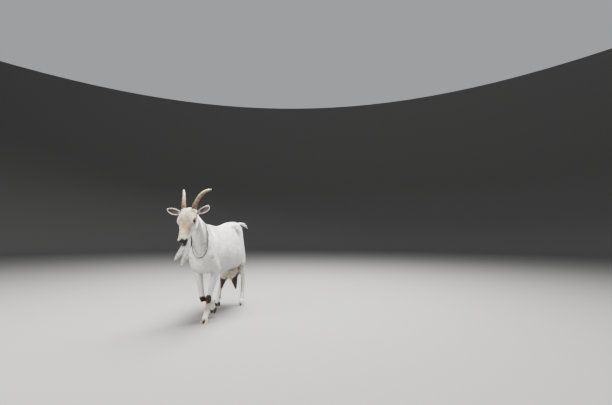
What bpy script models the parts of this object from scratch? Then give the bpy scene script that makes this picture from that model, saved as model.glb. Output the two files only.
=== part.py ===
"""A life-size horned dairy doe, caught in a slow walk: three hooves down, the right forefoot folded up.

Units are metres and +Z is up. The goat faces -Y and its left side is +X. The flesh is first modelled whole,
as overlapping lofts that one voxel remesh fuses, and then parted into its named pieces by thin cuts.
"""

import math
from collections import namedtuple

import bmesh
import bpy
from mathutils import Matrix, Vector
from mathutils.bvhtree import BVHTree

# ---------------------------------------------------------------- driving dimensions
WITHERS_HEIGHT = 0.730
HIP_HEIGHT = 0.765
BRISKET_HEIGHT = 0.347
BELLY_HEIGHT = 0.313
SHOULDER_HALF_WIDTH = 0.106
BARREL_HALF_WIDTH = 0.165
RUMP_HALF_WIDTH = 0.085

HEAD_LENGTH = 0.243
HEAD_PITCH = math.radians(62)  # how far the face slopes below level
POLL = Vector((-0.007, -0.521, 0.807))  # where the head's own frame starts, inside the skull between the ears

KNEE_HEIGHT = 0.172
HOCK_HEIGHT = 0.243
FETLOCK = Vector((0, 0.032, 0.076))  # from the middle of the sole
CORONET = Vector((0, 0.010, 0.038))

EYE_RADIUS = 0.0145
HORN_BASE_RADIUS = 0.0185
EAR_HALF_WIDTH = 0.029
EAR_THICKNESS = 0.0032
COLLAR_WIDTH = 0.017
COLLAR_TURN = math.radians(14)  # the right side of the strap lies further forward than the left
COLLAR_THICKNESS = 0.0032

GAP = 0.0003  # left between touching pieces
CUT = 0.0004  # thickness of a parting cut
VOXEL = 0.0034
RING_POINTS = 28

Leg = namedtuple("Leg", "upper lower foot")
# upper is the elbow or the stifle, lower the knee or the hock, and foot the matrix that places the foot's own
# frame: origin in the middle of the sole, -Y to the toes. Left is +X.


def foot_at(x, y, z=0.0, flexed=0.0, turned=0.0):
    place = Matrix.Translation((x, y, z))
    return place @ Matrix.Rotation(math.radians(turned), 4, "Z") @ Matrix.Rotation(math.radians(flexed), 4, "X")


LEFT_FORE = Leg(Vector((0.072, -0.250, 0.378)), Vector((0.047, -0.314, KNEE_HEIGHT)), foot_at(0.035, -0.352, turned=-3))
RIGHT_FORE = Leg(
    Vector((-0.073, -0.255, 0.378)),
    Vector((-0.008, -0.304, KNEE_HEIGHT + 0.002)),
    foot_at(0.026, -0.171, 0.052, flexed=50),
)
LEFT_HIND = Leg(Vector((0.104, 0.200, 0.388)), Vector((0.086, 0.345, HOCK_HEIGHT)), foot_at(0.094, 0.272, turned=4))
RIGHT_HIND = Leg(
    Vector((-0.104, 0.182, 0.388)),
    Vector((-0.104, 0.312, HOCK_HEIGHT)),
    foot_at(-0.121, 0.236, turned=-4),
)


# ---------------------------------------------------------------- scene and materials
def clear_scene():
    for obj in list(bpy.data.objects):
        bpy.data.objects.remove(obj, do_unlink=True)


def material(name, colour, roughness):
    made = bpy.data.materials.new(name)
    made.use_nodes = True
    shader = made.node_tree.nodes["Principled BSDF"]
    shader.inputs["Base Color"].default_value = (*colour, 1.0)
    shader.inputs["Roughness"].default_value = roughness
    shader.inputs["Metallic"].default_value = 0.0
    return made


def add_object(name, mesh, finish=None):
    obj = bpy.data.objects.new(name, mesh)
    bpy.context.scene.collection.objects.link(obj)
    if finish is not None:
        mesh.materials.clear()
        mesh.materials.append(finish)
    return obj


def mesh_from(bm, name):
    mesh = bpy.data.meshes.new(name)
    bm.to_mesh(mesh)
    bm.free()
    return mesh


def closed_mesh(bm, name):
    """Faces out and all triangles, so that a grown copy has the very same facets."""
    bmesh.ops.recalc_face_normals(bm, faces=bm.faces[:])
    bmesh.ops.triangulate(bm, faces=bm.faces[:])
    return mesh_from(bm, name)


def evaluated_mesh(obj):
    """The mesh that an object's modifiers make, as a mesh of its own."""
    bpy.context.view_layer.update()
    graph = bpy.context.evaluated_depsgraph_get()
    return bpy.data.meshes.new_from_object(obj.evaluated_get(graph))


# ---------------------------------------------------------------- lofts
Section = namedtuple("Section", "top bottom half_width widest round_top round_bottom")
# top and bottom are (y, z) in the sagittal plane. widest is the share of the way up at which the section is
# widest. round_top and round_bottom are superellipse powers: 2 is an ellipse, less is a ridge, more is a box.


def flat_numbers(section):
    return [
        *section.top,
        *section.bottom,
        section.half_width,
        section.widest,
        section.round_top,
        section.round_bottom,
    ]


def spline(rows, steps):
    """Catmull-Rom values between rows of numbers, with `steps` values for each gap."""
    rows = [list(row) for row in rows]
    ends = [[2 * a - b for a, b in zip(rows[0], rows[1])]]
    ends += rows
    ends.append([2 * a - b for a, b in zip(rows[-1], rows[-2])])
    found = []
    for before, start, stop, after in zip(ends, ends[1:], ends[2:], ends[3:]):
        for step in range(steps):
            t = step / steps
            found.append([
                0.5 * (2 * b + (c - a) * t + (2 * a - 5 * b + 4 * c - d) * t**2 + (3 * b - a - 3 * c + d) * t**3)
                for a, b, c, d in zip(before, start, stop, after)
            ])
    found.append(rows[-1])
    return found


def power(value, exponent):
    return math.copysign(abs(value) ** exponent, value)


def sagittal_ring(numbers, place):
    """The points of one section; place turns (x, y, z) of the section's frame into the goat's frame."""
    top_y, top_z, bottom_y, bottom_z, half_width, widest, round_top, round_bottom = numbers
    top = Vector((0, top_y, top_z))
    bottom = Vector((0, bottom_y, bottom_z))
    middle = bottom.lerp(top, widest)
    ring = []
    for i in range(RING_POINTS):
        angle = 2 * math.pi * i / RING_POINTS
        across, along = math.cos(angle), math.sin(angle)
        exponent = 2 / (round_top if along > 0 else round_bottom)
        reach = (top - middle) if along > 0 else (middle - bottom)
        ring.append(place(middle + reach * power(along, exponent) + Vector((half_width * power(across, exponent), 0, 0))))
    return ring


def add_loft(bm, rings):
    """Bridges closed rings of points, and closes both ends."""
    loops = []
    for ring in rings:
        verts = [bm.verts.new(p) for p in ring]
        loops.append([bm.edges.new((verts[i - 1], verts[i])) for i in range(len(verts))])
    for first, second in zip(loops, loops[1:]):
        bmesh.ops.bridge_loops(bm, edges=first + second)
    for loop in (loops[0], loops[-1]):
        bmesh.ops.contextual_create(bm, geom=loop)


def in_goat_frame(point):
    return point


def add_sections(bm, sections, place=in_goat_frame, steps=4):
    rows = spline([flat_numbers(s) for s in sections], steps)
    add_loft(bm, [sagittal_ring(row, place) for row in rows])


def add_tube(bm, stations, steps=4, points=18):
    """A limb: each station is (centre, half width, half depth), and a ring stands square to the path."""
    rows = spline([[*centre, width, depth] for centre, width, depth in stations], steps)
    centres = [Vector(row[:3]) for row in rows]
    rings = []
    for i, row in enumerate(rows):
        along = (centres[min(i + 1, len(rows) - 1)] - centres[max(i - 1, 0)]).normalized()
        side = (Vector((1, 0, 0)) - along * along.x).normalized()
        back = along.cross(side)
        ring = []
        for k in range(points):
            angle = 2 * math.pi * k / points
            ring.append(centres[i] + side * row[3] * math.cos(angle) + back * row[4] * math.sin(angle))
        rings.append(ring)
    add_loft(bm, rings)


def add_blob(bm, centre, radii, turn=None):
    """An ellipsoid, with its radii along X, Y and Z before the turn."""
    matrix = Matrix.Translation(centre) @ (turn or Matrix.Identity(4)) @ Matrix.Diagonal((*radii, 1))
    bmesh.ops.create_uvsphere(bm, u_segments=20, v_segments=14, radius=1, matrix=matrix)


def weighted(obj, name, weight):
    group = obj.vertex_groups.new(name=name)
    for vertex in obj.data.vertices:
        group.add([vertex.index], weight(vertex.co), "REPLACE")
    return group.name


def blended(mesh, weight, iterations):
    """The mesh smoothed further where weight(point) is high, so that muscles run into each other."""
    obj = add_object("blend", mesh)
    smooth = obj.modifiers.new("blend", "SMOOTH")
    smooth.factor = 0.5
    smooth.iterations = iterations
    smooth.vertex_group = weighted(obj, "soft", weight)
    result = evaluated_mesh(obj)
    bpy.data.objects.remove(obj, do_unlink=True)
    return result


def fused(bm, name, voxel, smoothing, triangles, plainness=None):
    """One smooth closed skin over everything in bm, thinned to about that many triangles.

    plainness(point) runs from 0, where the skin keeps its detail, to 1, where it thins the most.
    """
    bmesh.ops.recalc_face_normals(bm, faces=bm.faces[:])
    blocks = add_object(name + "_blocks", mesh_from(bm, name + "_blocks"))
    remesh = blocks.modifiers.new("fuse", "REMESH")
    remesh.mode = "VOXEL"
    remesh.voxel_size = voxel
    remesh.adaptivity = 0
    smooth = blocks.modifiers.new("smooth", "SMOOTH")
    smooth.factor = 0.5
    smooth.iterations = smoothing
    whole = evaluated_mesh(blocks)
    bpy.data.objects.remove(blocks, do_unlink=True)
    if plainness is not None:
        whole = blended(whole, plainness, 60)
    faces = sum(len(polygon.vertices) - 2 for polygon in whole.polygons)
    skin = add_object(name, whole)
    thin = skin.modifiers.new("thin", "DECIMATE")
    thin.ratio = min(1.0, triangles / faces)
    thin.use_collapse_triangulate = True
    if plainness is not None:
        thin.vertex_group = weighted(skin, "plain", lambda point: 0.14 + 0.86 * plainness(point) ** 0.62)
        thin.vertex_group_factor = 1.0
    mesh = evaluated_mesh(skin)
    bpy.data.objects.remove(skin, do_unlink=True)
    return mesh


# ---------------------------------------------------------------- trunk and neck
def trunk_sections():
    shoulder, barrel, rump = SHOULDER_HALF_WIDTH, BARREL_HALF_WIDTH, RUMP_HALF_WIDTH

    def section(y, top, bottom, half_width, widest, round_top=2.0, round_bottom=2.0):
        return Section((y, top), (y, bottom), half_width, widest, round_top, round_bottom)

    return [
        section(-0.402, 0.545, 0.430, 0.36 * shoulder, 0.45),
        section(-0.378, 0.635, 0.383, 0.70 * shoulder, 0.42),
        section(-0.330, 0.700, 0.355, 0.92 * shoulder, 0.40, 1.6),
        section(-0.250, WITHERS_HEIGHT, BRISKET_HEIGHT, shoulder, 0.42, 1.45, 2.0),
        section(-0.160, 0.719, 0.347, 1.08 * shoulder, 0.46, 1.6, 2.1),
        section(-0.060, 0.718, 0.329, 0.88 * barrel, 0.45, 1.7, 2.1),
        section(0.050, 0.740, BELLY_HEIGHT, barrel, 0.42, 1.55, 2.1),
        section(0.130, 0.755, 0.317, 0.99 * barrel, 0.40, 1.38, 2.1),
        section(0.190, 0.761, 0.338, 0.90 * barrel, 0.38, 1.15, 2.0),
        section(0.245, HIP_HEIGHT, 0.372, 0.74 * barrel, 0.36, 1.10, 2.0),
        section(0.310, 0.766, 0.410, rump, 0.45, 1.40, 2.0),
        section(0.375, 0.757, 0.455, 0.70 * rump, 0.55, 1.9, 2.0),
        section(0.422, 0.728, 0.560, 0.46 * rump, 0.60, 2.0, 2.0),
    ]


NECK_SECTIONS = [
    Section((-0.548, 0.823), (-0.478, 0.707), 0.042, 0.50, 2.0, 2.0),
    Section((-0.498, 0.806), (-0.456, 0.657), 0.046, 0.48, 1.9, 2.0),
    Section((-0.444, 0.785), (-0.440, 0.597), 0.049, 0.46, 1.8, 1.9),
    Section((-0.386, 0.762), (-0.424, 0.535), 0.051, 0.44, 1.7, 1.9),
    Section((-0.328, 0.740), (-0.408, 0.475), 0.060, 0.42, 1.6, 2.0),
    Section((-0.262, 0.729), (-0.372, 0.407), 0.086, 0.42, 1.5, 2.0),
]


def add_shoulder(bm, side, elbow):
    """Shoulder blade and upper arm, which meet at the point of the shoulder."""
    point = Vector((side * 0.076, -0.340, 0.473))
    add_tube(bm, [
        (Vector((side * 0.020, -0.222, 0.680)), 0.012, 0.036),
        (Vector((side * 0.053, -0.254, 0.612)), 0.029, 0.058),
        (Vector((side * 0.072, -0.298, 0.543)), 0.034, 0.056),
        (point, 0.032, 0.044),
    ])
    add_tube(bm, [
        (point + Vector((0, -0.004, 0.010)), 0.030, 0.040),
        (point.lerp(elbow, 0.5) + Vector((side * 0.002, 0, 0)), 0.034, 0.052),
        (elbow + Vector((0, 0.004, 0.006)), 0.031, 0.050),
    ])


def add_croup(bm):
    """The broad top of the hips, level from the loin to the tail."""
    add_tube(bm, [
        (Vector((0, 0.170, 0.722)), 0.044, 0.032),
        (Vector((0, 0.240, 0.725)), 0.062, 0.036),
        (Vector((0, 0.320, 0.727)), 0.056, 0.036),
        (Vector((0, 0.396, 0.718)), 0.036, 0.032),
    ])


def add_rump(bm, side, stifle):
    """Hook bone, pin bone, the edge of the loin, thigh, ham and the fold of the flank."""
    add_blob(bm, Vector((side * 0.056, 0.238, 0.700)), (0.031, 0.064, 0.036))
    add_blob(bm, Vector((side * 0.030, 0.396, 0.690)), (0.024, 0.036, 0.036))
    add_tube(bm, [
        (Vector((side * 0.020, 0.030, 0.704)), 0.024, 0.016),
        (Vector((side * 0.030, 0.100, 0.716)), 0.028, 0.018),
        (Vector((side * 0.038, 0.170, 0.722)), 0.030, 0.020),
        (Vector((side * 0.042, 0.236, 0.724)), 0.032, 0.022),
    ])
    add_tube(bm, [
        (Vector((side * 0.044, 0.300, 0.680)), 0.038, 0.080),
        (Vector((side * 0.056, 0.292, 0.575)), 0.040, 0.098),
        (Vector((side * 0.082, 0.268, 0.455)), 0.040, 0.098),
        (stifle.lerp(Vector((side * 0.094, 0.300, 0.385)), 0.42), 0.036, 0.066),
    ])
    add_tube(bm, [
        (Vector((side * 0.028, 0.384, 0.665)), 0.028, 0.042),
        (Vector((side * 0.038, 0.378, 0.560)), 0.032, 0.044),
        (Vector((side * 0.064, 0.352, 0.440)), 0.032, 0.040),
        (Vector((side * 0.081, 0.332, 0.382)), 0.022, 0.028),
        (Vector((side * 0.089, 0.320, 0.345)), 0.011, 0.014),
    ])
    add_tube(bm, [
        (Vector((side * 0.104, 0.105, 0.417)), 0.012, 0.040),
        (Vector((side * 0.104, 0.165, 0.407)), 0.015, 0.040),
        (stifle + Vector((0, 0.012, 0.012)), 0.020, 0.040),
    ])


def foot_stations(leg):
    """From above the fetlock to the inside of the claws."""
    def at(y, z):
        return leg.foot @ Vector((0, y, z))

    return [
        (leg.foot @ FETLOCK, 0.0218, 0.0215),
        (at(0.0205, 0.0560), 0.0203, 0.0188),
        (at(0.0110, 0.0400), 0.0230, 0.0215),
        (at(0.0090, 0.0300), 0.0220, 0.0225),
        (at(0.0080, 0.0190), 0.0185, 0.0210),
    ]


def add_foreleg(bm, leg):
    elbow, knee, fetlock = leg.upper, leg.lower, leg.foot @ FETLOCK
    add_tube(bm, [
        (elbow + (elbow - knee) * 0.16 + Vector((0, 0.006, 0)), 0.031, 0.050),
        (elbow, 0.0320, 0.0480),
        (elbow.lerp(knee, 0.28), 0.0290, 0.0385),
        (elbow.lerp(knee, 0.60), 0.0230, 0.0275),
        (elbow.lerp(knee, 0.84), 0.0210, 0.0235),
        (knee, 0.0230, 0.0245),
        (knee.lerp(fetlock, 0.22), 0.0200, 0.0215),
        (knee.lerp(fetlock, 0.46), 0.0165, 0.0180),
        (knee.lerp(fetlock, 0.74), 0.0165, 0.0175),
        *foot_stations(leg),
    ])
    # The pad on the kneecap that the goat kneels on.
    shin = (knee - fetlock).normalized()
    front = shin.cross(Vector((1, 0, 0))).normalized()
    front = front if front.y < 0 else -front
    add_blob(bm, knee + front * 0.0095, (0.0180, 0.0145, 0.0260))


def add_hindleg(bm, leg):
    stifle, hock, fetlock = leg.upper, leg.lower, leg.foot @ FETLOCK
    heel = hock + Vector((0, 0.016, 0.022))  # the point of the hock
    ham = stifle + Vector((-math.copysign(0.010, stifle.x), 0.086, 0.040))
    add_tube(bm, [
        (stifle.lerp(ham, 0.45) + Vector((0, -0.010, 0.040)), 0.035, 0.068),
        (stifle.lerp(ham, 0.30), 0.035, 0.060),
        (stifle.lerp(hock, 0.36), 0.031, 0.043),
        (stifle.lerp(hock, 0.66), 0.0225, 0.0285),
        (hock + Vector((0, -0.003, 0.028)), 0.0190, 0.0245),
        (hock, 0.0210, 0.0280),
        (hock + Vector((0, -0.004, -0.032)), 0.0195, 0.0235),
        (hock.lerp(fetlock, 0.44), 0.0180, 0.0205),
        (hock.lerp(fetlock, 0.80), 0.0180, 0.0198),
        *foot_stations(leg),
    ])
    # Achilles tendon, from the point of the hock up into the ham.
    add_tube(bm, [
        (heel + Vector((0, 0, -0.020)), 0.0130, 0.0110),
        (heel, 0.0125, 0.0120),
        (heel.lerp(ham, 0.35), 0.0110, 0.0115),
        (heel.lerp(ham, 0.75), 0.0190, 0.0230),
        (ham, 0.0270, 0.0300),
    ])
    # The web of skin in the hollow between that tendon and the shank.
    add_tube(bm, [
        (hock.lerp(heel, 0.5) + Vector((0, 0, 0.008)), 0.0080, 0.0120),
        (stifle.lerp(hock, 0.70).lerp(heel.lerp(ham, 0.30), 0.5), 0.0080, 0.0190),
        (stifle.lerp(hock, 0.46).lerp(heel.lerp(ham, 0.62), 0.5), 0.0110, 0.0240),
        (stifle.lerp(hock, 0.24).lerp(heel.lerp(ham, 0.88), 0.5), 0.0180, 0.0280),
    ])


# ---------------------------------------------------------------- head
HEAD_FORWARD = Vector((0, -math.cos(HEAD_PITCH), -math.sin(HEAD_PITCH)))
HEAD_UP = Vector((0, -math.sin(HEAD_PITCH), math.cos(HEAD_PITCH)))
HEAD_TURN = Matrix(((1, 0, 0), (0, HEAD_FORWARD.y, HEAD_UP.y), (0, HEAD_FORWARD.z, HEAD_UP.z))).to_4x4()


def on_head(side, along, up):
    """A point of the head: side to the left, along from the poll to the nose, up out of the face."""
    return POLL + Vector((side, 0, 0)) + HEAD_FORWARD * along + HEAD_UP * up


def head_place(point):
    return on_head(point.x, point.y, point.z)


def skull_sections():
    """From the back of the skull to the nose, as shares of the head's length, with heights in metres."""

    def section(share, top, bottom, half_width, widest, round_top, round_bottom):
        along = share * HEAD_LENGTH
        return Section((along, top), (along, bottom), half_width, widest, round_top, round_bottom)

    return [
        section(-0.13, 0.012, -0.022, 0.015, 0.50, 2.0, 2.0),
        section(-0.07, 0.032, -0.044, 0.037, 0.50, 2.0, 2.0),
        section(0.00, 0.050, -0.058, 0.050, 0.55, 2.0, 2.0),
        section(0.10, 0.061, -0.066, 0.058, 0.60, 2.1, 2.0),
        section(0.22, 0.063, -0.064, 0.065, 0.66, 2.2, 2.0),
        section(0.34, 0.058, -0.058, 0.065, 0.68, 2.3, 1.9),
        section(0.45, 0.048, -0.050, 0.056, 0.62, 2.3, 1.9),
        section(0.56, 0.0395, -0.040, 0.0465, 0.56, 2.3, 2.0),
        section(0.68, 0.0350, -0.031, 0.0385, 0.50, 2.4, 2.2),
        section(0.80, 0.0325, -0.024, 0.0325, 0.46, 2.5, 2.3),
        section(0.90, 0.0290, -0.0200, 0.0305, 0.45, 2.4, 2.3),
        section(0.96, 0.0200, -0.0185, 0.0260, 0.46, 2.2, 2.2),
        section(1.00, 0.0060, -0.0150, 0.0160, 0.48, 2.0, 2.0),
    ]


def jaw_sections():
    """The lower jaw, from its angle under the ear to the chin."""

    def section(share, top, bottom, half_width, widest):
        along = share * HEAD_LENGTH
        return Section((along, top), (along, bottom), half_width, widest, 2.0, 2.2)

    return [
        section(0.12, -0.010, -0.064, 0.028, 0.60),
        section(0.20, -0.010, -0.079, 0.040, 0.60),
        section(0.32, -0.010, -0.083, 0.042, 0.62),
        section(0.45, -0.010, -0.074, 0.035, 0.64),
        section(0.58, -0.010, -0.061, 0.028, 0.62),
        section(0.70, -0.010, -0.051, 0.0225, 0.58),
        section(0.80, -0.010, -0.0455, 0.0205, 0.50),
        section(0.89, -0.012, -0.0440, 0.0205, 0.45),
        section(0.95, -0.016, -0.0380, 0.0150, 0.45),
    ]


EYE = (0.0545, 0.352 * HEAD_LENGTH, 0.0275)  # side, along and up of the left eyeball's centre
EAR_ROOT = (0.049, 0.125 * HEAD_LENGTH, 0.022)


def add_head(bm):
    add_sections(bm, skull_sections(), head_place)
    add_sections(bm, jaw_sections(), head_place)
    for side in (-1, 1):
        # The orbit with its brow, the cheek and what lies before it, the wing of the nose, the lip, the horn's boss and the ear's root.
        add_blob(bm, on_head(side * 0.0440, 0.340 * HEAD_LENGTH, 0.0275), (0.0225, 0.0360, 0.0235), HEAD_TURN)
        add_blob(bm, on_head(side * 0.0450, 0.325 * HEAD_LENGTH, 0.0420), (0.0155, 0.0320, 0.0110), HEAD_TURN)
        add_blob(bm, on_head(side * 0.0335, 0.300 * HEAD_LENGTH, -0.0330), (0.0170, 0.0600, 0.0400), HEAD_TURN)
        add_blob(bm, on_head(side * 0.0165, 0.600 * HEAD_LENGTH, -0.0300), (0.0130, 0.0560, 0.0210), HEAD_TURN)
        add_blob(bm, on_head(side * 0.0180, 0.925 * HEAD_LENGTH, 0.0090), (0.0130, 0.0170, 0.0150), HEAD_TURN)
        add_blob(bm, on_head(side * 0.0160, 0.895 * HEAD_LENGTH, -0.0110), (0.0155, 0.0260, 0.0110), HEAD_TURN)
        add_blob(bm, on_head(side * 0.0340, 0.070 * HEAD_LENGTH, 0.0420), (0.0200, 0.0240, 0.0160), HEAD_TURN)
        add_blob(bm, on_head(side * 0.0485, 0.120 * HEAD_LENGTH, 0.0200), (0.0150, 0.0210, 0.0200), HEAD_TURN)
    add_blob(bm, on_head(0, 0.885 * HEAD_LENGTH, -0.0360), (0.0185, 0.0220, 0.0115), HEAD_TURN)
    add_blob(bm, on_head(0, 0.955 * HEAD_LENGTH, -0.0080), (0.0120, 0.0150, 0.0130), HEAD_TURN)


# ---------------------------------------------------------------- tail and udder
TAIL_PATH = [
    (Vector((0, 0.372, 0.712)), 0.024, 0.020),
    (Vector((0.002, 0.412, 0.740)), 0.024, 0.018),
    (Vector((0.013, 0.450, 0.750)), 0.024, 0.017),
    (Vector((0.033, 0.485, 0.738)), 0.024, 0.018),
    (Vector((0.053, 0.511, 0.716)), 0.021, 0.016),
    (Vector((0.065, 0.526, 0.696)), 0.012, 0.009),
]


def add_udder(bm):
    add_blob(bm, Vector((0, 0.205, 0.363)), (0.078, 0.115, 0.075))
    for side, reach in ((-1, 0.060), (1, 0.076)):
        add_blob(bm, Vector((side * 0.034, 0.212, 0.307)), (0.054, 0.082, 0.072))
        add_tube(bm, [
            (Vector((side * 0.042, 0.206, 0.300)), 0.033, 0.039),
            (Vector((side * (0.042 + 0.33 * (reach - 0.042)), 0.196, 0.253)), 0.031, 0.033),
            (Vector((side * (0.042 + 0.60 * (reach - 0.042)), 0.190, 0.217)), 0.0220, 0.0220),
            (Vector((side * (0.042 + 0.80 * (reach - 0.042)), 0.187, 0.193)), 0.0155, 0.0155),
            (Vector((side * (0.042 + 0.93 * (reach - 0.042)), 0.185, 0.171)), 0.0115, 0.0115),
            (Vector((side * reach, 0.184, 0.161)), 0.0060, 0.0060),
        ])


# ---------------------------------------------------------------- parting cuts
def blade(centre, normal, half_across, half_along):
    """A thin flat box: what it passes through is parted. It lies across X and along the rest of its plane."""
    normal = normal.normalized()
    across = (Vector((1, 0, 0)) - normal * normal.x).normalized()
    axes = Matrix((across, normal.cross(across), normal)).transposed().to_4x4()
    size = Matrix.Diagonal((2 * half_across, 2 * half_along, CUT, 1))
    bm = bmesh.new()
    bmesh.ops.create_cube(bm, size=1, matrix=Matrix.Translation(centre) @ axes @ size)
    return mesh_from(bm, "blade")


def difference(mesh, cutter_mesh, name):
    """mesh less cutter, both closed."""
    obj = add_object(name, mesh)
    cutter = add_object(name + "_cutter", cutter_mesh)
    cut = obj.modifiers.new("cut", "BOOLEAN")
    cut.operation = "DIFFERENCE"
    cut.solver = "EXACT"
    cut.object = cutter
    result = evaluated_mesh(obj)
    bpy.data.objects.remove(obj, do_unlink=True)
    bpy.data.objects.remove(cutter, do_unlink=True)
    return result


def islands(mesh):
    """The separate closed pieces of a mesh, each as (mean point, mesh), crumbs left out."""
    bm = bmesh.new()
    bm.from_mesh(mesh)
    bmesh.ops.triangulate(bm, faces=bm.faces[:])
    todo = set(bm.verts)
    found = []
    while todo:
        seed = todo.pop()
        group, edge = {seed}, [seed]
        while edge:
            for link in edge.pop().link_edges:
                for vert in link.verts:
                    if vert not in group:
                        group.add(vert)
                        edge.append(vert)
        todo -= group
        found.append(group)
    pieces = []
    for group in found:
        if len(group) < 20:
            continue
        ids = {vert: i for i, vert in enumerate(sorted(group, key=lambda v: v.index))}
        faces = [[ids[v] for v in face.verts] for face in bm.faces if face.verts[0] in group]
        points = [vert.co.copy() for vert in ids]
        piece = bpy.data.meshes.new("piece")
        piece.from_pydata(points, [], faces)
        pieces.append((sum(points, Vector()) / len(points), piece))
    bm.free()
    return pieces


HEAD_CUT = (Vector((0, -0.459, 0.745)), Vector((0, -0.925, 0.38)))
NECK_CUT = (Vector((0, -0.352, 0.605)), Vector((0, -0.93, 0.36)))


def blades():
    """Where each thin cut goes, as (centre, normal, half across, half along)."""
    found = [
        (*HEAD_CUT, 0.13, 0.12),
        (*NECK_CUT, 0.16, 0.22),
        (Vector((0.011, 0.447, 0.749)), Vector((0.28, 0.90, 0.25)), 0.036, 0.036),
    ]
    for side, elbow in ((1, LEFT_FORE.upper), (-1, RIGHT_FORE.upper)):
        found.append((elbow + Vector((side * 0.004, -0.010, 0.006)), Vector((side * 0.95, -0.05, -1)), 0.088, 0.088))
    for side in (1, -1):
        found.append((Vector((side * 0.094, 0.262, 0.467)), Vector((side * 1.40, 1.00, -1)), 0.127, 0.300))
    return found


# ---------------------------------------------------------------- hooves
def claw_outline(half_width, half_length, points=12):
    """The sole of one claw, flat on its inner side and pointed at the toe (-Y)."""
    outline = []
    for i in range(points):
        angle = 2 * math.pi * (i + 0.5) / points
        x = half_width * power(math.cos(angle), 0.85)
        y = half_length * power(math.sin(angle), 0.95)
        taper = 1 - 0.50 * max(0.0, -y / half_length) ** 1.5
        outline.append((max(x * taper, -0.70 * half_width), y))
    return outline


def toe_spread(foot):
    """How far a claw is set out from the middle of its foot, and how far its toe turns out."""
    if foot.translation.z > 0.02:
        return 0.0120, math.radians(1.5)
    if foot.translation.y < -0.30:
        return 0.0150, math.radians(10)
    return 0.0136, math.radians(6)


def claw_mesh(name, side, foot):
    """One claw: its sole is flat, its wall leans back and its top slopes down to the heel."""
    bm = bmesh.new()
    rings = []
    out, turn = toe_spread(foot)
    splay = Matrix.Translation((side * out, 0.002, 0)) @ Matrix.Rotation(side * turn, 4, "Z")
    for share, shrink in ((0.0, 0.97), (0.10, 1.0), (0.55, 0.95), (1.0, 0.88)):
        ring = []
        for x, y in claw_outline(0.0135, 0.0300):
            height = 0.0270 - 0.30 * y
            lean = 0.58 * height * share * (0.62 - 0.38 * y / 0.0300)
            ring.append(foot @ splay @ Vector((side * x * shrink, y + lean, height * share)))
        rings.append(ring)
    add_loft(bm, rings)
    return closed_mesh(bm, name)


def dewclaw_mesh(name, side, foot):
    """A blunt cone behind the fetlock, pointing down and back."""
    bm = bmesh.new()
    turn = Vector((side * 0.25, 0.55, -1)).normalized().to_track_quat("-Z", "Y").to_matrix().to_4x4()
    matrix = foot @ Matrix.Translation((side * 0.0110, 0.0500, 0.0660)) @ turn
    bmesh.ops.create_cone(bm, cap_ends=True, segments=8, radius1=0.0045, radius2=0.0075, depth=0.017, matrix=matrix)
    return closed_mesh(bm, name)


# ---------------------------------------------------------------- horns, ears, eyes, beard
def horn_rows():
    """Centre and radius along the left horn: up, back and outward in one growing curve."""
    return [
        [0.0360, -0.556, 0.817, 1.00],
        [0.0428, -0.545, 0.857, 0.95],
        [0.0532, -0.524, 0.898, 0.85],
        [0.0700, -0.493, 0.938, 0.70],
        [0.0905, -0.457, 0.964, 0.47],
        [0.1110, -0.424, 0.976, 0.20],
    ]


def horn_mesh(name, side):
    bm = bmesh.new()
    rows = spline(horn_rows(), 2)
    # Both horns lean a little towards her right.
    lean = [POLL.x - 0.006 * i / (len(rows) - 1) for i in range(len(rows))]
    centres = [Vector((side * row[0] + shift, row[1], row[2])) for row, shift in zip(rows, lean)]
    rings = []
    for i, row in enumerate(rows):
        along = (centres[min(i + 1, len(rows) - 1)] - centres[max(i - 1, 0)]).normalized()
        across = (Vector((1, 0, 0)) - along * along.x).normalized()
        back = along.cross(across)
        radius = HORN_BASE_RADIUS * row[3]
        rings.append([
            centres[i]
            + across * 0.84 * radius * math.cos(2 * math.pi * k / 12)
            + back * 1.12 * radius * math.sin(2 * math.pi * k / 12)
            for k in range(12)
        ])
    add_loft(bm, rings)
    return closed_mesh(bm, name)


def ear_mesh(name, side):
    """A cupped leaf that opens forward, rolled nearly into a tube at its root."""
    root = on_head(side * EAR_ROOT[0], EAR_ROOT[1], EAR_ROOT[2])
    tip = Vector((0.151, -0.575, 0.842)) if side > 0 else Vector((-0.166, -0.568, 0.824))
    along = (tip - root).normalized()
    face = Vector((side * 0.10, -1.0, 0.22))
    face = (face - along * face.dot(along)).normalized()
    across = face.cross(along)
    bm = bmesh.new()
    rows, columns = 8, 6
    grid = []
    for i in range(rows):
        share = i / (rows - 1)
        half = EAR_HALF_WIDTH * (0.52 + 0.48 * math.sin(math.pi * min(1, share * 1.25) * 0.62)) * (1 - share**4.5) ** 0.62
        half = max(half, 0.0022)
        roll = math.radians(250 - 165 * share**0.55)
        radius = 2 * half / roll
        line = []
        for j in range(columns):
            angle = roll * (j / (columns - 1) - 0.5)
            sag = 0.010 * math.sin(math.pi * share)
            point = root + along * (share * (tip - root).length)
            point += across * radius * math.sin(angle) + face * radius * (0.35 - math.cos(angle)) - face * sag
            line.append(bm.verts.new(point))
        grid.append(line)
    for below, above in zip(grid, grid[1:]):
        for j in range(columns - 1):
            bm.faces.new((below[j], below[j + 1], above[j + 1], above[j]))
    bmesh.ops.recalc_face_normals(bm, faces=bm.faces[:])
    sheet = add_object(name + "_sheet", mesh_from(bm, name))
    wall = sheet.modifiers.new("wall", "SOLIDIFY")
    wall.thickness = EAR_THICKNESS
    wall.offset = 0
    wall.use_even_offset = True
    mesh = evaluated_mesh(sheet)
    bpy.data.objects.remove(sheet, do_unlink=True)
    return mesh


def grown(mesh, distance):
    """The same closed mesh, moved outwards along its normals."""
    obj = add_object("grown", mesh.copy())
    swell = obj.modifiers.new("swell", "DISPLACE")
    swell.strength = distance
    swell.mid_level = 0
    result = evaluated_mesh(obj)
    bpy.data.objects.remove(obj, do_unlink=True)
    return result


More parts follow.
